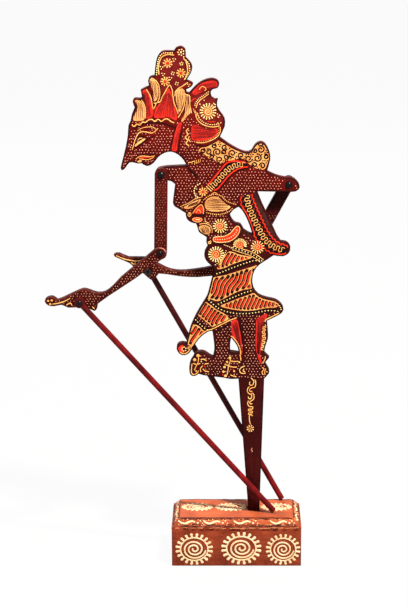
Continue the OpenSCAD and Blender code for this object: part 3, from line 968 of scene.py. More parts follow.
def paint_headdress():
    """The ear, the band behind the face, and the wing at the back with its sun."""
    board.area("crimson", [
        (-44.6, 353.3), (-41.9, 354), (-42.9, 349.7), (-44.5, 342.9), (-45.4, 336.1), (-46.1, 332.2),
        (-49.3, 332), (-49.7, 334.6), (-48.5, 340.3), (-46.9, 347.1),
    ])
    board.comb("wine", [(-44.4, 352), (-42.6, 352.4)], [(-49, 333), (-46.6, 332.8)], 2, 0.6, 0.3)
    board.stroke("black", [(-41.6, 349), (-43.1, 342.9), (-44.3, 336.1), (-45.2, 332)], 0.8)
    board.stroke("black", [(-46.4, 352), (-48.4, 344), (-50.2, 337.6), (-51, 332.6)], 0.8)
    ear = [
        (-36.8, 349.6), (-38.6, 347.4), (-37.3, 344.8), (-39.4, 342.6), (-37.5, 340.2), (-38.8, 337.9),
        (-36.4, 336),
    ]
    board.stroke("gold", ear, 0.9)
    board.stroke("gold", [(-36, 343.4), (-37.2, 341.6), (-35.4, 339)], 0.7)
    board.area("wine", [
        (-33.6, 374), (-28, 376), (-24, 378), (-19, 378.6), (-16, 374), (-14.4, 368), (-11, 361),
        (-10.6, 356), (-12, 352.4), (-18, 351.6), (-24, 353), (-28.6, 356), (-31.6, 361), (-32.4, 367),
    ])
    streaked("crimson", [
        (-34.7, 345.4), (-34.3, 350.6), (-31.8, 352.4), (-26.7, 350.4), (-20.9, 348.9), (-14.6, 349.3),
        (-14.4, 346.3), (-16.2, 343.5), (-20.9, 341.2), (-26.7, 339.9), (-32.4, 340), (-34.7, 342),
    ], [(-33.6, 351), (-34, 346), (-33, 341)], [(-16, 348.4), (-15.4, 346), (-17.6, 343.4)], 8)
    outer = curve([
        (-12.6, 350.8), (-12.5, 347.1), (-13.9, 344.2), (-16.7, 341.8), (-20.9, 339.7), (-25.9, 338.4),
        (-31, 338.7),
    ])
    board.line("gold", outer, 0.9)
    board.beads("gold", beside(outer, -1.2), 1.4, 0.32)
    board.stroke("black", [(-30, 336.6), (-24.2, 335.9), (-19.2, 337.5), (-14.6, 340)], 0.9)
    arc = curve([
        (-31.4, 360.4), (-30.2, 356.8), (-27.6, 353.7), (-23.4, 351.6), (-18.3, 350.6), (-12.8, 351.4),
    ])
    board.line("gold", arc, 0.8)
    board.beads("cream", beside(arc, 1.7), 1.7, 0.48)
    for at in (
        (-14.6, 360.5), (-13, 359.6), (-14, 358.3), (-12, 353.9), (-14.5, 353.6), (-24.7, 371.2),
        (-28, 368.2),
    ):
        board.dot("cream", at, 0.52)
    for x, z in ((-33, 363), (-31.6, 361.6), (-30.2, 360)):
        board.line("gold", [(x, z + 2), (x + 0.5, z), (x + 1.5, z - 2)], 0.6, taper=True)
    board.sun((-21.9, 362.6), 6.3, 16, disc_colour="gold", coil="red")
    strand = curve([(-20.8, 376.4), (-24.2, 374), (-28, 371.2), (-29.8, 368.9), (-31, 365.4)])
    board.line("gold", strand, 0.8)
    board.beads("cream", beside(strand, -1.4), 1.5, 0.45)
    board.cluster("cream", (-17.2, 367.2), 1.5, 5, 0.55)
    board.stroke("red", [(-22.2, 355.1), (-19.2, 354.5), (-16, 354.9)], 0.8, taper=True)
    board.stroke("red", [(-35, 370), (-33.4, 371.6), (-31, 373)], 1.0, taper=True)
    streaked("crimson", [
        (-33.9, 377.2), (-30.1, 381.8), (-25.9, 384.6), (-20.9, 386), (-16.2, 386), (-14.6, 384.6),
        (-15, 381.9), (-16.4, 381), (-19.2, 381.2), (-22.5, 380.6), (-25.1, 378.4), (-28.4, 376.8),
        (-31.8, 375.4),
    ], [(-32.6, 376), (-30.6, 380), (-27.6, 383)], [(-16.4, 381.6), (-15.6, 383.4), (-16.4, 385.4)], 5)
    board.stroke("gold", [
        (-28.4, 379.6), (-26.8, 381.6), (-24.6, 381.5), (-23.2, 379.8), (-24.4, 378.6),
    ], 0.85)
    board.stroke("gold", [(-37.3, 322.9), (-35, 323.2), (-32.6, 324.2)], 0.7)
    for k in range(4):
        x = -32.6 + 1.4 * k
        board.line("gold", [
            (x, 321.2 + 0.6 * k), (x + 0.5, 323 + 0.5 * k), (x + 0.4, 324.6 + 0.4 * k),
        ], 0.5)
    board.line("black", [(-37.6, 319), (-34, 315.4), (-31, 311.8)], 1.8)


# Curls as x, z and radius, and the grid of dots between them
HAIR_CURLS = (
    (-26, 332.3, 1.7), (-21.6, 331.4, 2.2), (-14.8, 331.2, 2.9), (-3.2, 330.2, 2.9), (3.5, 328.6, 2.2),
    (9.4, 326, 2.7), (16.2, 326.5, 3.0), (18.7, 333.2, 2.8), (22.6, 327.6, 1.8), (20, 320.5, 2.2),
    (14, 321.2, 1.9), (-13, 325.3, 2.3), (-9.2, 335, 2.1), (-7.8, 327.4, 1.9), (-17.4, 336, 1.6),
    (-19.4, 327.4, 1.6), (14.2, 332, 1.5), (-9.6, 331, 1.6),
)
HAIR_CORNER = (-29, 318)
HAIR_PITCH = (1.7, 1.6)
HAIR_ROWS = 14
HAIR_COLUMNS = 34
HAIR_DOT = 0.7
HAIR_DOT_ROOM = 1.2


def paint_hair():
    """Black curls and dots on amber."""
    ground = [
        (-29.3, 332.4), (-26.7, 334.6), (-23.4, 335), (-20, 336.7), (-16.7, 339), (-14.1, 340),
        (-10, 338), (-5.7, 335.2), (-1.5, 333), (3.5, 331), (6.9, 329.8), (10.3, 330), (12.8, 333),
        (15.3, 336.4), (18.7, 337.6), (21.6, 336.6), (23.8, 333.6), (25, 329.2), (24.6, 325),
        (23.3, 320.9), (21.8, 318), (17.8, 317.6), (12.4, 320), (8.6, 323), (6.1, 325.4), (1.9, 326.4),
        (-1.5, 325.2), (-5.7, 324.4), (-8.2, 324.2), (-11.6, 322.4), (-15, 323), (-17.5, 325.6),
        (-20.9, 325.8), (-23.4, 328.4), (-25.9, 330.3),
    ]
    board.area("amber", ground)
    for i, (x, z, r) in enumerate(HAIR_CURLS):
        board.spiral("black", (x, z), 0.75, r + 0.3, max(1.2, r / 2.1), 1.55, 0.9 * i)
    edge = curve(ground, True)
    tree = board.inked_tree()
    for row in range(HAIR_ROWS):
        for step in range(HAIR_COLUMNS):
            x = HAIR_CORNER[0] + HAIR_PITCH[0] * step + HAIR_PITCH[0] / 2 * (row % 2)
            z = HAIR_CORNER[1] + HAIR_PITCH[1] * row
            if inside((x, z), edge) and tree.find((x, z, 0))[2] > HAIR_DOT_ROOM:
                board.dot("black", (x, z), HAIR_DOT)


COLLAR_UPPER = [
    (-22.4, 305.3), (-19.3, 308.6), (-15.7, 312.9), (-12.2, 317.3), (-9.2, 320.9), (-6.6, 323),
    (-2.4, 324), (2.7, 323.6), (7.4, 322.8),
]
COLLAR_LOWER = [
    (-17.4, 301.2), (-14.8, 302.4), (-12.4, 305), (-9.4, 308.8), (-5.8, 313), (-0.9, 317), (4.1, 319),
    (8.6, 319.6),
]


def paint_chest():
    """Collar, chest ornament and the scrolls in front of the chest."""
    board.area("black", COLLAR_UPPER + COLLAR_LOWER[::-1])
    upper, lower = curve(COLLAR_UPPER), curve(COLLAR_LOWER)
    board.line("red", upper, 1.5)
    board.line("red", lower, 1.5)
    board.line("black", beside(lower, -1.3), 1.0)
    board.snake("gold", curve([
        (-18.6, 304.8), (-14, 309), (-9.4, 314.6), (-4.6, 319), (1, 321.2), (6, 321.4),
    ]), 1.85, 3.7, 0.7)
    p, q = Vector((-23.4, 304.4)), Vector((-19.4, 300.4))
    for k in range(3):
        shift = Vector((0.95, 0.95)) * (1.3 * k)
        board.line("gold", [p + shift, (p + q) / 2 + shift, q + shift], 0.7)
    board.blossom((-26, 300), 3.5)
    board.beads("cream", curve([
        (-28.4, 306.4), (-31.4, 304.4), (-32.8, 300.8), (-32, 297.4), (-29.8, 295.4),
    ]), 1.9, 0.62)
    streaked("tan", [
        (-24.6, 289.8), (-23.5, 293.4), (-20.7, 295.6), (-16.4, 296.3), (-12.9, 294.9), (-10.4, 292.4),
        (-7.4, 289.9), (-4.6, 288.3), (-6.5, 286.4), (-10.8, 285), (-16.4, 284.4), (-21.4, 285.2),
        (-23.9, 287.2),
    ], [(-21.4, 294.6), (-24, 290), (-21.6, 285.8)], [(-12.4, 294.2), (-6.4, 289.4), (-9, 285.9)], 7)
    top = curve([
        (-24.4, 294.6), (-20.7, 297.2), (-16, 298), (-11.6, 296.6), (-8.6, 293.4), (-4, 291),
        (-0.6, 290.2),
    ])
    board.beads("gold", top, 1.5, 0.5)
    low = curve([(-23, 283.4), (-16.4, 282.2), (-10.8, 282.6), (-6, 284.4), (-2.6, 287.4)])
    board.beads("gold", low, 1.5, 0.5)
    board.stroke("gold", [(-20, 297), (-17, 299.6), (-14.6, 297.8)], 0.6)
    streaked("tan", [
        (-41, 287.8), (-37.6, 289.8), (-34.1, 292), (-30.6, 293.4), (-27.7, 294.4), (-28.4, 292.2),
        (-31.3, 289.6), (-35.5, 287.2), (-39, 286.6),
    ], [(-37, 289.4), (-38.4, 287.2)], [(-29, 293.4), (-30, 291)], 3)
    board.stroke("gold", [(-43.6, 288.4), (-37.6, 291), (-32, 294.4), (-26.6, 296)], 0.55)
    board.area("red", [
        (-33.4, 284.6), (-29.9, 287.5), (-27, 288.5), (-26.2, 286.9), (-26.2, 283.6), (-29.2, 282.7),
        (-32, 283),
    ])
    board.stroke("gold", [
        (-34, 283), (-31.4, 286.8), (-27.4, 289.8), (-25.6, 286.4), (-25.8, 282.6),
    ], 0.75)
    board.stroke("gold", [(-31.4, 283.4), (-29.6, 286.2), (-27.6, 283.6)], 0.65)
    board.stroke("black", [(-34.6, 281.8), (-30, 281.4), (-25, 281.8)], 0.8)
    board.spiral("gold", (-36.8, 282), 0.4, 1.8, 1.3, 0.6)
    board.area("red", [
        (-34.3, 278.2), (-32.4, 279.6), (-29.9, 280), (-26.9, 279), (-26.2, 277.9), (-27.7, 276.5),
        (-30.6, 276), (-33, 276.6),
    ])
    board.stroke("gold", [
        (-34.3, 278.2), (-31, 279.6), (-26.8, 278.6), (-28, 276.8), (-31, 276.2),
    ], 0.6, closed=True)
    board.line("cream", [(-32, 277.9), (-30.2, 278.2), (-28.4, 277.8)], 1.0, taper=True)
    board.stroke("gold", [(-24.6, 279.6), (-24, 276.6), (-21, 275.2)], 0.6)
    streaked("tan", [
        (-29.4, 271.8), (-27.4, 273.4), (-24.2, 273.7), (-20.9, 271.8), (-20.2, 268.4), (-22.1, 266.6),
        (-25.6, 267.2), (-28, 269),
    ], [(-28.4, 271), (-25.6, 273.2), (-22, 271.8)], [(-25.6, 267.8), (-23, 267.2), (-20.6, 268.6)], 6)
    board.stroke("gold", [(-28.8, 274.4), (-24, 275), (-19.6, 272.4), (-19, 267.6)], 0.6)


def paint_belt():
    """Suns and beads round a red belt."""
    board.sun((-12.7, 273), 5.6, 15)
    belt = [
        (-17.8, 261.2), (-17.8, 263.8), (-13.6, 264.5), (-9.4, 264.9), (-5.1, 267.1), (-2.3, 270.3),
        (-0.4, 272.4), (1.4, 272.8), (2.6, 270.8), (1.7, 267.4), (-0.9, 263.8), (-5.1, 261),
        (-10.1, 260.1), (-15, 260.2),
    ]
    board.area("red", belt)
    board.stroke("cream", belt, 0.65, closed=True)
    board.beads("cream", curve([
        (-16.4, 262.4), (-9.6, 262.4), (-4.4, 264), (-1, 267), (0.8, 270.8),
    ]), 1.8, 0.48)
    board.stroke("black", [(-18, 258.8), (-10, 258.6), (-4, 259.6), (1, 263), (4, 268)], 0.8)
    board.sun((2.7, 257.8), 5.2, 13, arc=(-20, 200))
    board.sun((16.4, 256.2), 5.2, 14)
    board.sun((-15.9, 250.4), 6.2, 17)
    board.spiral("gold", (-21.2, 260), 0.3, 1.5, 1.2, 0.7)
    board.beads("cream", curve([(-9.6, 258), (-6.6, 256.8), (-3.6, 255.4)]), 1.5, 0.45)
    board.beads("cream", curve([(-16.6, 242), (-12.6, 245), (-9.8, 249.4), (-7.8, 254.4)]), 1.6, 0.45)
    girdle = curve([(-2.8, 255.6), (4.4, 253.2), (10.9, 251), (16.1, 248), (20, 244.9)])
    dotted_band(girdle[::4], 1.3)
    board.line("gold", beside(girdle, 1.5), 0.6)
    board.line("gold", beside(girdle, -1.5), 0.6)
    board.stroke("brown", [(4.4, 269), (8, 266.4), (11.4, 264.6)], 0.8)


SASH_LEFT = [
    (3.4, 296.6), (3.6, 291), (5.6, 286), (8.6, 279.6), (11.4, 272.6), (14, 265.4), (17, 260),
    (21.6, 255.2), (26.4, 252), (31, 250.6), (35.6, 250.2), (39, 252),
]
SASH_RIGHT = [
    (11.6, 298), (13.4, 292.6), (16, 286.4), (19, 279.8), (22.2, 273), (25.4, 267), (29.4, 262),
    (33.2, 259.4), (37, 258.4), (40.2, 256),
]
SASH_MIDDLE = [
    (8, 297), (8.8, 291), (11, 284.6), (14.2, 277.6), (17.6, 270.4), (21.4, 263.6), (26, 258.6),
    (31, 255.6), (36.6, 253.8),
]
SWAY_STEP = 0.6


def wavy(path, reach, pitch):
    """A path that sways to both sides of another."""
    found = []
    for i, (p, way) in enumerate(walk(path, SWAY_STEP)):
        found.append(p + left_of(way) * reach * math.sin(math.tau * i * SWAY_STEP / pitch))
    return found


def paint_sash():
    """A black sash with wavy red edges and a gold meander."""
    board.area("black", SASH_LEFT + SASH_RIGHT[::-1])
    # A paler brown band down the right side: painted highlight for the strap's bevelled edge catching
    # light
    board.area("brown", [
        (13.2, 298.6), (15.4, 298.6), (19.4, 289.4), (25.4, 276.2), (31, 264), (32.8, 261), (30.4, 262.2),
        (26.4, 267.6), (23.2, 273.6), (20, 280.4), (17, 287), (14.4, 293.2),
    ])
    board.line("red", wavy(curve(SASH_LEFT), 0.5, 3.8), 1.15)
    board.line("red", wavy(curve(SASH_RIGHT), 0.45, 3.6), 1.15)
    board.snake("gold", curve(SASH_MIDDLE), 1.95, 4.1, 0.78)
    for p, way in walk(curve(SASH_MIDDLE), 4.0):
        across = left_of(way)
        board.dot("red", p + across * 3.0, 0.5)
        board.dot("red", p - across * 2.9, 0.5)


# The batik blades' gold ground between and round them, and the steps along them
GOLD_BETWEEN = 0.5
GOLD_RIM = 0.5
BLADE_STEP = 0.35
BLADE_BEND = 0.38
FEWEST_STEPS = 5
LEAST_ROOM = 0.15
# The red stroke in a blade: its share of the blade's half width, how far it is off the middle, where
# the blade is too narrow for it, and the part of the blade's steps that stays dark at each end
RED_WIDTH = 1.15
RED_OFFSET = 0.25
RED_FROM = 0.6
DARK_END = 7


def gap_to(p, polygon):
    """How far a point inside a polygon is from its edge, or 0 outside."""
    if not inside(p, polygon):
        return 0
    least = 1e6
    for a, b in zip(polygon, polygon[1:] + polygon[:1]):
        near, share = intersect_point_line(p, a, b)
        near = a if share < 0 else b if share > 1 else near
        least = min(least, (near - p).length)
    return least


def parang(outline, lean, pitch, sway=0.5):
    """Batik blades: dark slanted cells with round ends on gold, each with a red stroke."""
    edge = []
    for p in curve(outline, True, 1.0):
        p = board.hold(p, board.margin)
        if not edge or (p - edge[-1]).length > 0.2:
            edge.append(p)
    board.area("amber", edge, smooth=False)
    way = Vector((math.cos(math.radians(lean)), math.sin(math.radians(lean))))
    across = -left_of(way)
    middle = sum(edge, Vector((0, 0))) / len(edge)
    reach = max((p - middle).length for p in edge)
    half = (pitch - GOLD_BETWEEN) / 2
    for k in range(-int(reach / pitch) - 1, int(reach / pitch) + 2):
        cell = []
        for t in range(int(-reach / BLADE_STEP), int(reach / BLADE_STEP) + 1):
            u = t * BLADE_STEP
            p = middle + way * u + across * (k * pitch + sway * math.sin(u * BLADE_BEND))
            room = gap_to(p, edge) - GOLD_RIM
            if room > LEAST_ROOM:
                bend = 1 - min(room / half, 1)
                cell.append((p, half * math.sqrt(1 - bend * bend)))
            elif cell:
                break
        if len(cell) < FEWEST_STEPS:
            continue
        ring = [p - across * h for p, h in cell] + [p + across * h for p, h in cell[::-1]]
        board.area("black", ring, smooth=False)
        dark = max(1, len(cell) // DARK_END)
        red = [p + across * half * RED_OFFSET for p, h in cell[dark:-dark] if h > half * RED_FROM]
        if len(red) > 2:
            board.line("red", red, half * RED_WIDTH)


def dotted_band(path, half):
    """A dark band with a row of pale dots."""
    path = curve(path)
    left, right = beside(path, half), beside(path, -half)
    board.area("black", left[::2] + right[::-2], smooth=False)
    board.beads("cream", path, 2.5, 0.55)


def paint_skirt():
    """Fields of batik blades, dotted bands and the gold hem."""
    parang([
        (-15, 238.8), (-13.2, 243.6), (-9.6, 249.4), (-5.8, 252.6), (-2.3, 252), (1.9, 250.3), (8.3, 249),
        (12.2, 247.9), (7.6, 246.2), (1.9, 244.4), (-3.7, 242.3), (-9.4, 239.6),
    ], 68, 2.8)
    parang([
        (-19.4, 231), (-8, 234), (2, 237.2), (11.4, 240.2), (16.4, 241.6), (14.4, 238.4), (12.8, 232),
        (13.2, 224), (5, 221.8), (0, 220), (-7, 216.4), (-14.1, 213), (-20, 214.2), (-23.6, 215.8),
        (-21.8, 224),
    ], 64, 3.05, 0.7)
    board.stroke("gold", [(-17.8, 231), (-20.2, 224), (-22.4, 216)], 0.6)
    board.stroke("gold", [(12.2, 240), (11.6, 232), (11.4, 224)], 0.6)
    parang([
        (-12.4, 208.8), (-5.6, 211.9), (0.1, 214.4), (7.2, 217), (13.4, 219.2), (17.4, 217.2),
        (24, 214.8), (30.4, 213.2), (33.4, 210.6), (31.4, 208), (25.6, 207.4), (20, 206.6), (14.3, 205.4),
        (7.2, 205), (0.1, 205.6), (-5.6, 206.6),
    ], 70, 2.8, 0.3)
    parang([
        (-25.4, 212), (-21.2, 210.2), (-17, 207.2), (-12.7, 204.4), (-8, 201.4), (-6.4, 198),
        (-10.6, 195.9), (-14.8, 193.8), (-19.1, 192), (-21.9, 194.4), (-25.5, 197.4), (-29.4, 200.8),
        (-30.8, 203.4),
    ], 66, 2.9)
    parang([
        (-35, 193.2), (-29.9, 192.6), (-26.4, 189), (-23.8, 187.6), (-26.9, 184.8), (-30.4, 181),
        (-33.3, 176.4), (-36, 176.2), (-38.6, 178.8), (-37.6, 185.1),
    ], 60, 3.0, 0.3)
    dotted_band([
        (-15.4, 234.8), (-9.4, 237), (-3.7, 239.4), (1.9, 241.6), (8.3, 243.9), (14, 245.4), (18, 245),
    ], 1.9)
    dotted_band([
        (-14.2, 210.4), (-10.6, 212.2), (-5.6, 214.6), (0.1, 217), (5.8, 219.4), (12, 221.2),
    ], 1.6)
    dotted_band([
        (-21.6, 213.6), (-17, 209), (-12.7, 206.2), (-7, 204), (-1.3, 202.9), (3.6, 202.6), (10.7, 202.9),
        (17.1, 203.8), (22.8, 204.9), (28.5, 205), (34, 204.2),
    ], 1.6)
    dotted_band([(-32.4, 197.6), (-29.2, 194.4), (-26.4, 191.8), (-23, 189.2)], 1.6)
    board.stroke("gold", [
        (0.1, 199.3), (-5.6, 197), (-11.3, 194.1), (-17, 191.1), (-21.2, 188.9), (-25.5, 185.4),
        (-29, 181.8), (-31.9, 177.4), (-34.9, 173.4), (-39, 170.4), (-42.5, 170), (-45, 171.4),
    ], 0.8)
    board.area("red", [
        (-46, 173.6), (-44.6, 176.4), (-41.8, 176.8), (-42.4, 173.6), (-41, 171.4), (-43.6, 170.8),
    ])
    board.cluster("cream", (-41.6, 173.6), 1.7, 6, 0.6)
    board.spiral("gold", (-37.6, 174.8), 0.4, 1.6, 1.2, 0.6)
    board.beads("cream", curve([(33.6, 209), (35, 206.6), (34.6, 204.6)]), 1.7, 0.5)
    board.stroke("gold", [(33.6, 203.2), (29, 200.8), (25.4, 198.4), (23.6, 196)], 0.85)


def paint_legs():
    """The panels that hang between the legs, and the gold scrolls at the feet."""
    streaked("crimson", [
        (-4, 195.6), (-0.6, 198.1), (0.8, 197.2), (2.2, 191.1), (3.6, 183.6), (4.5, 176.2), (4.5, 170.6),
        (3.5, 168.6), (2.3, 174.7), (0.2, 178.6), (-2, 182.4), (-3.6, 185.4),
    ], [(-3.4, 194), (0, 197.4)], [(3, 172), (4.4, 172.6)], 4, 1.3)
    board.stroke("gold", [
        (-4.4, 183.8), (-2.1, 180.4), (0.3, 177), (2, 172.5), (3, 168), (3.4, 164.3),
    ], 0.9)
    board.stroke("black", [(1.6, 198), (3.4, 190), (5, 182), (5.8, 174), (5.4, 167)], 0.7)
    streaked("crimson", [
        (15.7, 197.8), (18.5, 200), (22.6, 202.2), (24.4, 201.8), (22.6, 197.8), (20.7, 193.3),
        (20.3, 188.1), (20.5, 182.2), (19.8, 174.7), (18.6, 168.8), (20.2, 163), (20, 161), (18.4, 162.8),
        (16.4, 168.8), (15.3, 174.7), (15, 182.2), (15.3, 189.6),
    ], [(16.6, 198), (19, 199.6), (22.4, 201)], [(16.6, 170), (17.4, 169.6), (18.4, 169.6)], 5, 1.4)
    scallops = curve([(22.4, 193.4), (21.4, 188), (21.8, 182), (21, 176.6), (20.4, 172.4)])
    board.snake("gold", scallops, 1.1, 3.4, 0.85)
    board.line("black", beside(scallops, 1.9), 0.8)
    for path in (
        [(-30, 166.9), (-30.4, 162.9), (-32.1, 159.4), (-33.4, 156.3)],
        [(-35.3, 161.6), (-35.6, 158.5), (-35.8, 155), (-34.5, 152.8), (-31.6, 152.8), (-30.2, 155.9)],
        [(-34.4, 162), (-31.7, 161), (-28.7, 162)],
        [(-28.3, 165.1), (-25.7, 165.3), (-23.8, 163.8)],
        [(-28.3, 154.8), (-28.6, 157.7), (-26.8, 160)],
        [(-26.6, 157.4), (-24.9, 155.6), (-21.9, 155)],
        [(-25.3, 161.4), (-21.9, 161.8)],
        [(-5.3, 166.2), (-4.9, 163.8), (-6.2, 160.3), (-6.8, 156.8), (-7.5, 152.4)],
        [(-9.4, 161.4), (-7, 160.1), (-3.6, 159), (0.2, 158.8)],
        [(-4.7, 163.8), (-1.5, 163.4), (1.5, 163.6)],
        [(-4.9, 152.4), (-2.8, 151.6), (-0.2, 150.8)],
        [(6.6, 159.8), (3.6, 158.3), (2.4, 156), (4, 153.7), (7.2, 153.8)],
        [(6, 157.4), (5.2, 155.7), (6.8, 154.9)],
        [(20.2, 158.5), (21.7, 157.2), (20.2, 154.8), (21, 152.6)],
        [(23.2, 157.6), (22.3, 155.2), (22.6, 152.6)],
        [(23.4, 168.2), (22.4, 165.4), (21.4, 161.8)],
    ):
        board.line("gold", curve(path, step=0.6), 0.85)
    for at, radius in (
        ((-30.4, 168.2), 1.5), ((-33.2, 164.9), 1.35), ((-32, 155.4), 0.8), ((-27.9, 163.4), 0.6),
        ((-7.5, 163), 1.0), ((-9.6, 158.8), 1.1), ((-10.4, 155), 1.1), ((-8.8, 151.6), 1.2),
        ((-5.3, 166.4), 1.2), ((-1.9, 155.4), 0.9), ((2.2, 162.8), 0.8), ((24, 155), 0.6),
    ):
        board.dot("gold", at, radius)
    for at in ((-24.8, 158.9), (-25.6, 159.8), (-2.6, 156.8), (-11, 152.6)):
        board.dot("red", at, 0.55)
    board.stroke("black", [(-19, 186.4), (-12, 190.4), (-6, 193.8)], 0.8)


def paint_stake():
    """A gold vine down the stake, with a flower at its end."""
    for hook in (
        [
            (10.8, 146.6), (10.1, 145), (11.7, 143.6), (13.4, 145), (13.6, 147.2), (12.6, 148.8),
            (11.4, 149.9),
        ],
        [
            (14.4, 148.4), (15.2, 146.9), (15.1, 143.7), (14.2, 142.1), (11.7, 141.5), (10.4, 140.4),
            (10.4, 139.2), (11.4, 138.5), (12.6, 139.1),
        ],
        [
            (10.1, 142.8), (8.7, 140.7), (8.6, 138.7), (9.9, 136.9), (11.7, 136), (12.1, 134.2),
            (11.2, 132.6), (9.8, 132.9), (9.3, 134.4),
        ],
        [
            (11.8, 137.2), (13.4, 136.7), (14, 134.4), (13.4, 132.1), (11.5, 130.7), (10.4, 129.6),
            (11.2, 128.3), (12.6, 128.6),
        ],
        [
            (9.5, 131), (8.9, 129), (9.5, 126.9), (10.9, 126), (12.6, 126), (13.1, 124.8), (12.1, 123.9),
            (10, 124), (9.4, 123.2), (10, 122.4), (12.1, 122.4), (12.8, 121.6), (12.2, 120.8),
            (10, 120.8), (9.5, 120), (10.2, 119.2), (11.8, 119.2), (12.8, 118.4),
        ],
        [(10.2, 118.6), (10.2, 116.4), (10.5, 113.4), (11, 111.4)],
    ):
        board.line("gold", curve(hook, step=0.5), 0.82)
    board.petals("gold", (11, 107.8), 1.1, 2.5, 8, 0.95)
    board.dot("gold", (11, 107.8), 0.4)
    board.stroke("skin", [(12.6, 91.4), (11.8, 90), (12.9, 88.8), (12.2, 88)], 0.6)


for paint in (
    paint_topknot, paint_crown_front, paint_face, paint_headdress, paint_hair, paint_chest,
    paint_belt, paint_sash, paint_skirt, paint_legs, paint_stake,
):
    paint()

# The bare wood that takes rows of dots, and the room that they leave round the shoulders
SHOULDER_ROOM = 5.2
FACE_AND_NECK = [(-92, 312), (-92, 356), (-44, 354), (-30, 336), (-24, 326), (-30, 318), (-52, 318)]
CHEST_AND_BACK = [(-95, 258), (-95, 340), (-36, 358), (-8, 340), (60, 340), (60, 258)]
LEGS_SKIN = [(-40, 148), (-40, 200), (30, 203), (30, 150)]
off = [(at, SHOULDER_ROOM) for at in pivots_of("puppet")]
board.stipple("skin", 2.45, 0.41, FACE_AND_NECK, off)
board.stipple("skin", 2.5, 0.42, CHEST_AND_BACK, off)
board.stipple("skin", 2.5, 0.42, LEGS_SKIN)
for colour, pot in board_pots.items():
    pot.make(f"figure_{colour}_paint", "puppet", "figure_paint", PAINTS[colour])


# The arms' dots and gilded fingers

ARM_MARGIN = 1.0
PIVOT_ROOM = 4.0
ARM_PITCH = 2.3
ARM_DOT = 0.34
FINGERS = {
    "near_forearm": (
        [(-143.4, 213.6), (-138.6, 214.4), (-133.7, 216), (-129.4, 218.4)],
        [(-132.6, 212.6), (-129.4, 214.6), (-128, 212.4)],
        [(-112.4, 211.6), (-110.6, 209.8)],
    ),
    "far_forearm": (
        [(-96.6, 246), (-92, 244.2), (-86, 242.6), (-80, 241.6), (-75.6, 242.2)],
        [(-84, 239.6), (-79.6, 239)],
    ),
}
FINGERTIPS = ((-146.6, 216.2), (-143.8, 216.6), (-145.2, 213.2))
# A painted highlight round the near elbow: a pale line on its front face where light catches the rounded
# end
ELBOW_PAINTED_HIGHLIGHT_RADIUS = 4.9
ELBOW_HIGHLIGHT_MARGIN = 0.5
# The far upper arm's dots are dim near its shoulder: painted shade, where the board would shade it
BELOW_SHADE = [(-20, 220), (60, 220), (60, 281), (-20, 281)]
IN_SHADE = [(-20, 281), (60, 281), (60, 320), (-20, 320)]
for name in ARM_FACES:
    faces = both_faces(name, back_first=name.startswith("far"))
    pivots = pivots_of(name)
    pots = {}
    arm = Canvas(pots, faces, name, ARM_MARGIN)
    for path in FINGERS.get(name, ()):
        arm.stroke("gold", path, 1.0, taper=True)
    if name == "near_forearm":
        for at in FINGERTIPS:
            arm.dot("gold", at, 0.95)
        elbow_highlight = [around(pivots[0], ELBOW_PAINTED_HIGHLIGHT_RADIUS, k / 8) for k in range(2, 15)]
        Canvas(pots, faces[:1], name, ELBOW_HIGHLIGHT_MARGIN).line("skin", elbow_highlight, 0.6, taper=True)
    off = [(at, PIVOT_ROOM) for at in pivots]
    if name == "far_upper_arm":
        arm.stipple("rose", ARM_PITCH, ARM_DOT, BELOW_SHADE, off)
        # Dim wine dots as painted shade near the shoulder
        arm.stipple("wine", ARM_PITCH, ARM_DOT, IN_SHADE, off)
    else:
        arm.stipple("skin" if name.endswith("forearm") else "rose", ARM_PITCH, ARM_DOT, None, off)
    for colour, pot in pots.items():
        pot.make(f"{name}_{colour}_paint", name, "arm_paint", PAINTS[colour])


# The plinth's rosettes and running border

# Lengths that differ by less are the same
SAME = 0.01
# Its upright sides, the ledge above them and the slope up to the top, as the frame gives them
HALF_W, HALF_D, TOP = (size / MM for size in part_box("plinth")[1])
profile = [(vert.co.x / MM, vert.co.z / MM) for vert in nodes["plinth"].data.vertices]
SIDE_H = max(z for x, z in profile if HALF_W - x < SAME)
SLOPE_FOOT = max(x for x, z in profile if abs(z - SIDE_H) < SAME < HALF_W - x)
TOP_HALF_W = max(x for x, z in profile if TOP - z < SAME)
LEDGE, SLOPE_W, SLOPE_H = HALF_W - SLOPE_FOOT, SLOPE_FOOT - TOP_HALF_W, TOP - SIDE_H
TOP_HALF_D = HALF_D - LEDGE - SLOPE_W
SIDE_PETALS = 20
RING_STEPS = 40
# The top's rosettes: petals, flatness and how far they stand back. Then the seams along its long edges
TOP_PETALS = 18
TOP_FLAT = 0.7
TOP_ROSETTE_Y = 3.4
SEAM_INSET = 0.7
SEAM_STRAY = 0.15
TOP_SCUFFS = 12
# A wave of the border and its dots, as distances along it and shares of the slope
BORDER_WAVE = ((0, 0.7), (2, 0.48), (5, 0.36), (8, 0.52), (10.6, 0.64), (13.4, 0.52))
IVORY_DOTS = ((15.4, 0.44, 0.9), (17.4, 0.66, 0.7), (19.2, 0.4, 0.6))
GOLD_DOTS = ((0.4, 0.24), (4, 0.78), (7.4, 0.84), (10.2, 0.3), (15.8, 0.8), (18.6, 0.18))
# Rows of marks as height, reach beyond the half length, marks per mm of it, colour and width: along
# the sloped face, where the height is a share of the slope, and below the upright face's top
# The first row, black near the foot of the slope, is painted shade in the corner above the ledge
SLOPE_SCUFFS_AND_SHADE = (
    (0.1, 2, 0.8, "black", 0.9), (0.9, -1, 0.4, "black", 0.6), (0.26, 1, 0.7, "maroon", 0.7),
    (0.2, 1, 0.5, "clay", 0.6), (0.76, 0, 0.5, "clay", 0.7), (0.82, 0, 0.5, "maroon", 0.6),
)
SIDE_SCUFFS = ((-1.0, -2, 0.8, "clay", 0.9), (-2.2, -2, 0.5, "maroon", 0.7))
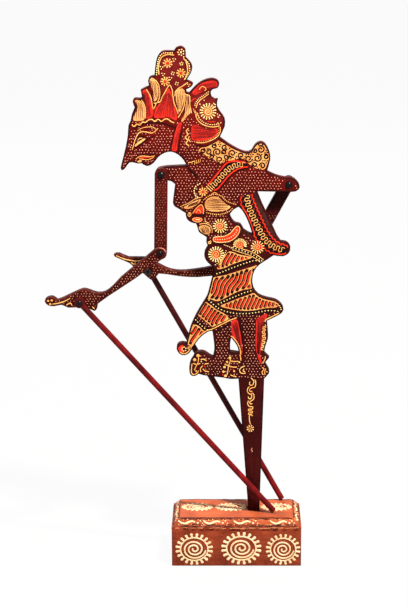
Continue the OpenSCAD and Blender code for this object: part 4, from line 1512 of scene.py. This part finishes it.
# Each side's turn, its rosettes as (x, z, half width, half height), and how far each wave strays
PLINTH_SIDES = (
    (
        0, ((-33.8, 14.3, 15.2, 13.5), (3.8, 15, 16.3, 13.9), (37.2, 14, 14, 13.2)),
        (-2.2, -4.6, -2.8, 3.8),
    ),
    (
        180, ((-34.6, 15, 15.2, 13.3), (0, 15, 15.6, 13.6), (34.6, 14.6, 15.2, 13.3)),
        (-1.2, 0.8, -0.6, 1.4),
    ),
    (90, ((0, 15, 15.4, 13.3),), (-0.8, 0.6)),
    (270, ((0, 14.6, 15.4, 13.3),), (0.4, -0.6)),
)
plinth_pots = {}


def plinth_side(turn, half):
    """The upright face and the sloped face above it, a quarter turn at a time from the front."""
    c, s = round(math.cos(math.radians(turn))), round(math.sin(math.radians(turn)))
    across, out = (c, s, 0), (s, -c, 0)
    wall = half - PLINTH_PAINT
    side = Canvas(plinth_pots, [Face((out[0] * wall, out[1] * wall, 0), across, (0, 0, 1))])
    foot = half - LEDGE
    up = (-out[0] * SLOPE_W, -out[1] * SLOPE_W, SLOPE_H)
    slope = Canvas(plinth_pots, [Face((out[0] * foot, out[1] * foot, SIDE_H), across, up)])
    return side, slope


def rosette(canvas, at, radius, flat, count):
    """A large rosette: round-ended petals, a ring and a coil."""
    canvas.petals("ivory", at, radius * 0.74, radius * 0.92, count, radius * 0.13, flat=flat, stem=1.0)
    ring = [around(at, radius * 0.72, math.tau * k / RING_STEPS, flat) for k in range(RING_STEPS)]
    canvas.line("ivory", ring, radius * 0.08, closed=True)
    canvas.spiral("ivory", at, radius * 0.06, radius * 0.61, 2.6, radius * 0.1, 2.4, flat)


def scuffs_and_shade(canvas, y, half, count, colour, width):
    """Short uneven marks along an edge: dirt and rubbed paint, and painted shade in corners."""
    for _ in range(count):
        x = random.uniform(-half, half)
        length = random.uniform(1.5, 7)
        rise = random.uniform(-0.35, 0.35)
        bow = random.uniform(-0.25, 0.25)
        path = [(x, y + rise), (x + length / 2, y + rise + bow), (x + length, y + rise * 0.4)]
        path = [(min(px, half), py) for px, py in path]
        canvas.stroke(colour, path, width * random.uniform(0.6, 1.3), taper=True)


def border(canvas, half, shifts):
    """Waves and dots along the sloped face, with rows of marks near its foot and top. The black row at
    its foot is painted shade in the corner above the ledge.
    """
    slope = math.hypot(SLOPE_W, SLOPE_H)
    pitch = (2 * half - 2) / len(shifts)
    for k, shift in enumerate(shifts):
        x = 1.6 - half + pitch * k + shift
        canvas.stroke("ivory", [(x + dx, slope * share) for dx, share in BORDER_WAVE], 2.1, taper=True)
        for dx, share, radius in IVORY_DOTS:
            canvas.dot("ivory", (x + dx, slope * share), radius)
        for dx, share in GOLD_DOTS:
            canvas.dot("gold", (x + dx, slope * share), 0.5)
    for share, beyond, marks, colour, width in SLOPE_SCUFFS_AND_SHADE:
        scuffs_and_shade(canvas, slope * share, half + beyond, int(half * marks), colour, width)


for turn, places, shifts in PLINTH_SIDES:
    half, reach = (HALF_D, HALF_W) if turn in (0, 180) else (HALF_W, HALF_D)
    side, slope = plinth_side(turn, half)
    for x, z, wide, tall in places:
        rosette(side, (x, z), wide, tall / wide, SIDE_PETALS)
    border(slope, reach - LEDGE - SLOPE_W, shifts)
    for height, beyond, marks, colour, width in SIDE_SCUFFS:
        scuffs_and_shade(side, SIDE_H + height, reach + beyond, int(reach * marks), colour, width)
top_face = Canvas(plinth_pots, [Face((0, 0, TOP), (1, 0, 0), (0, 1, 0))])
# The rosettes on top stay clear of the stake's slot and of the top's ends
for x, radius in ((-31.9, 13), (-4.6, 13), (32.25, 12.7)):
    at = (x, TOP_ROSETTE_Y)
    rosette(top_face, at, radius, TOP_FLAT, TOP_PETALS)
    for turn in (45, 135, 225, 315):
        path = [around(at, r, math.radians(turn), TOP_FLAT) for r in (3, 4.6, 6)]
        top_face.line("red", path, 0.8, taper=True)
for y in (SEAM_INSET - TOP_HALF_D, TOP_HALF_D - SEAM_INSET):
    seam = []
    for k in range(20):
        seam.append((TOP_HALF_W * (k / 10 - 0.98), y + random.uniform(-SEAM_STRAY, SEAM_STRAY)))
    top_face.stroke("black", seam, 0.5)
    scuffs_and_shade(top_face, y, TOP_HALF_W - 1, TOP_SCUFFS, "black", 0.6)
for colour, pot in plinth_pots.items():
    pot.make(f"plinth_{colour}_paint", "stand", "plinth_wood", PAINTS[colour])


# Rods and fasteners keep their CAD shape

for name, piece in nodes.items():
    finish = None
    if name.endswith("_rod"):
        finish = rod_wood if name == "near_rod" else far_rod_painted_shadow_wood
    elif name.endswith("_screw"):
        finish = black_steel
    elif name.endswith(("_nut", "_washer")):
        finish = zinc_steel
    elif name.endswith("_spacer"):
        finish = fibre
    if finish:
        piece.data.materials.clear()
        piece.data.materials.append(finish)
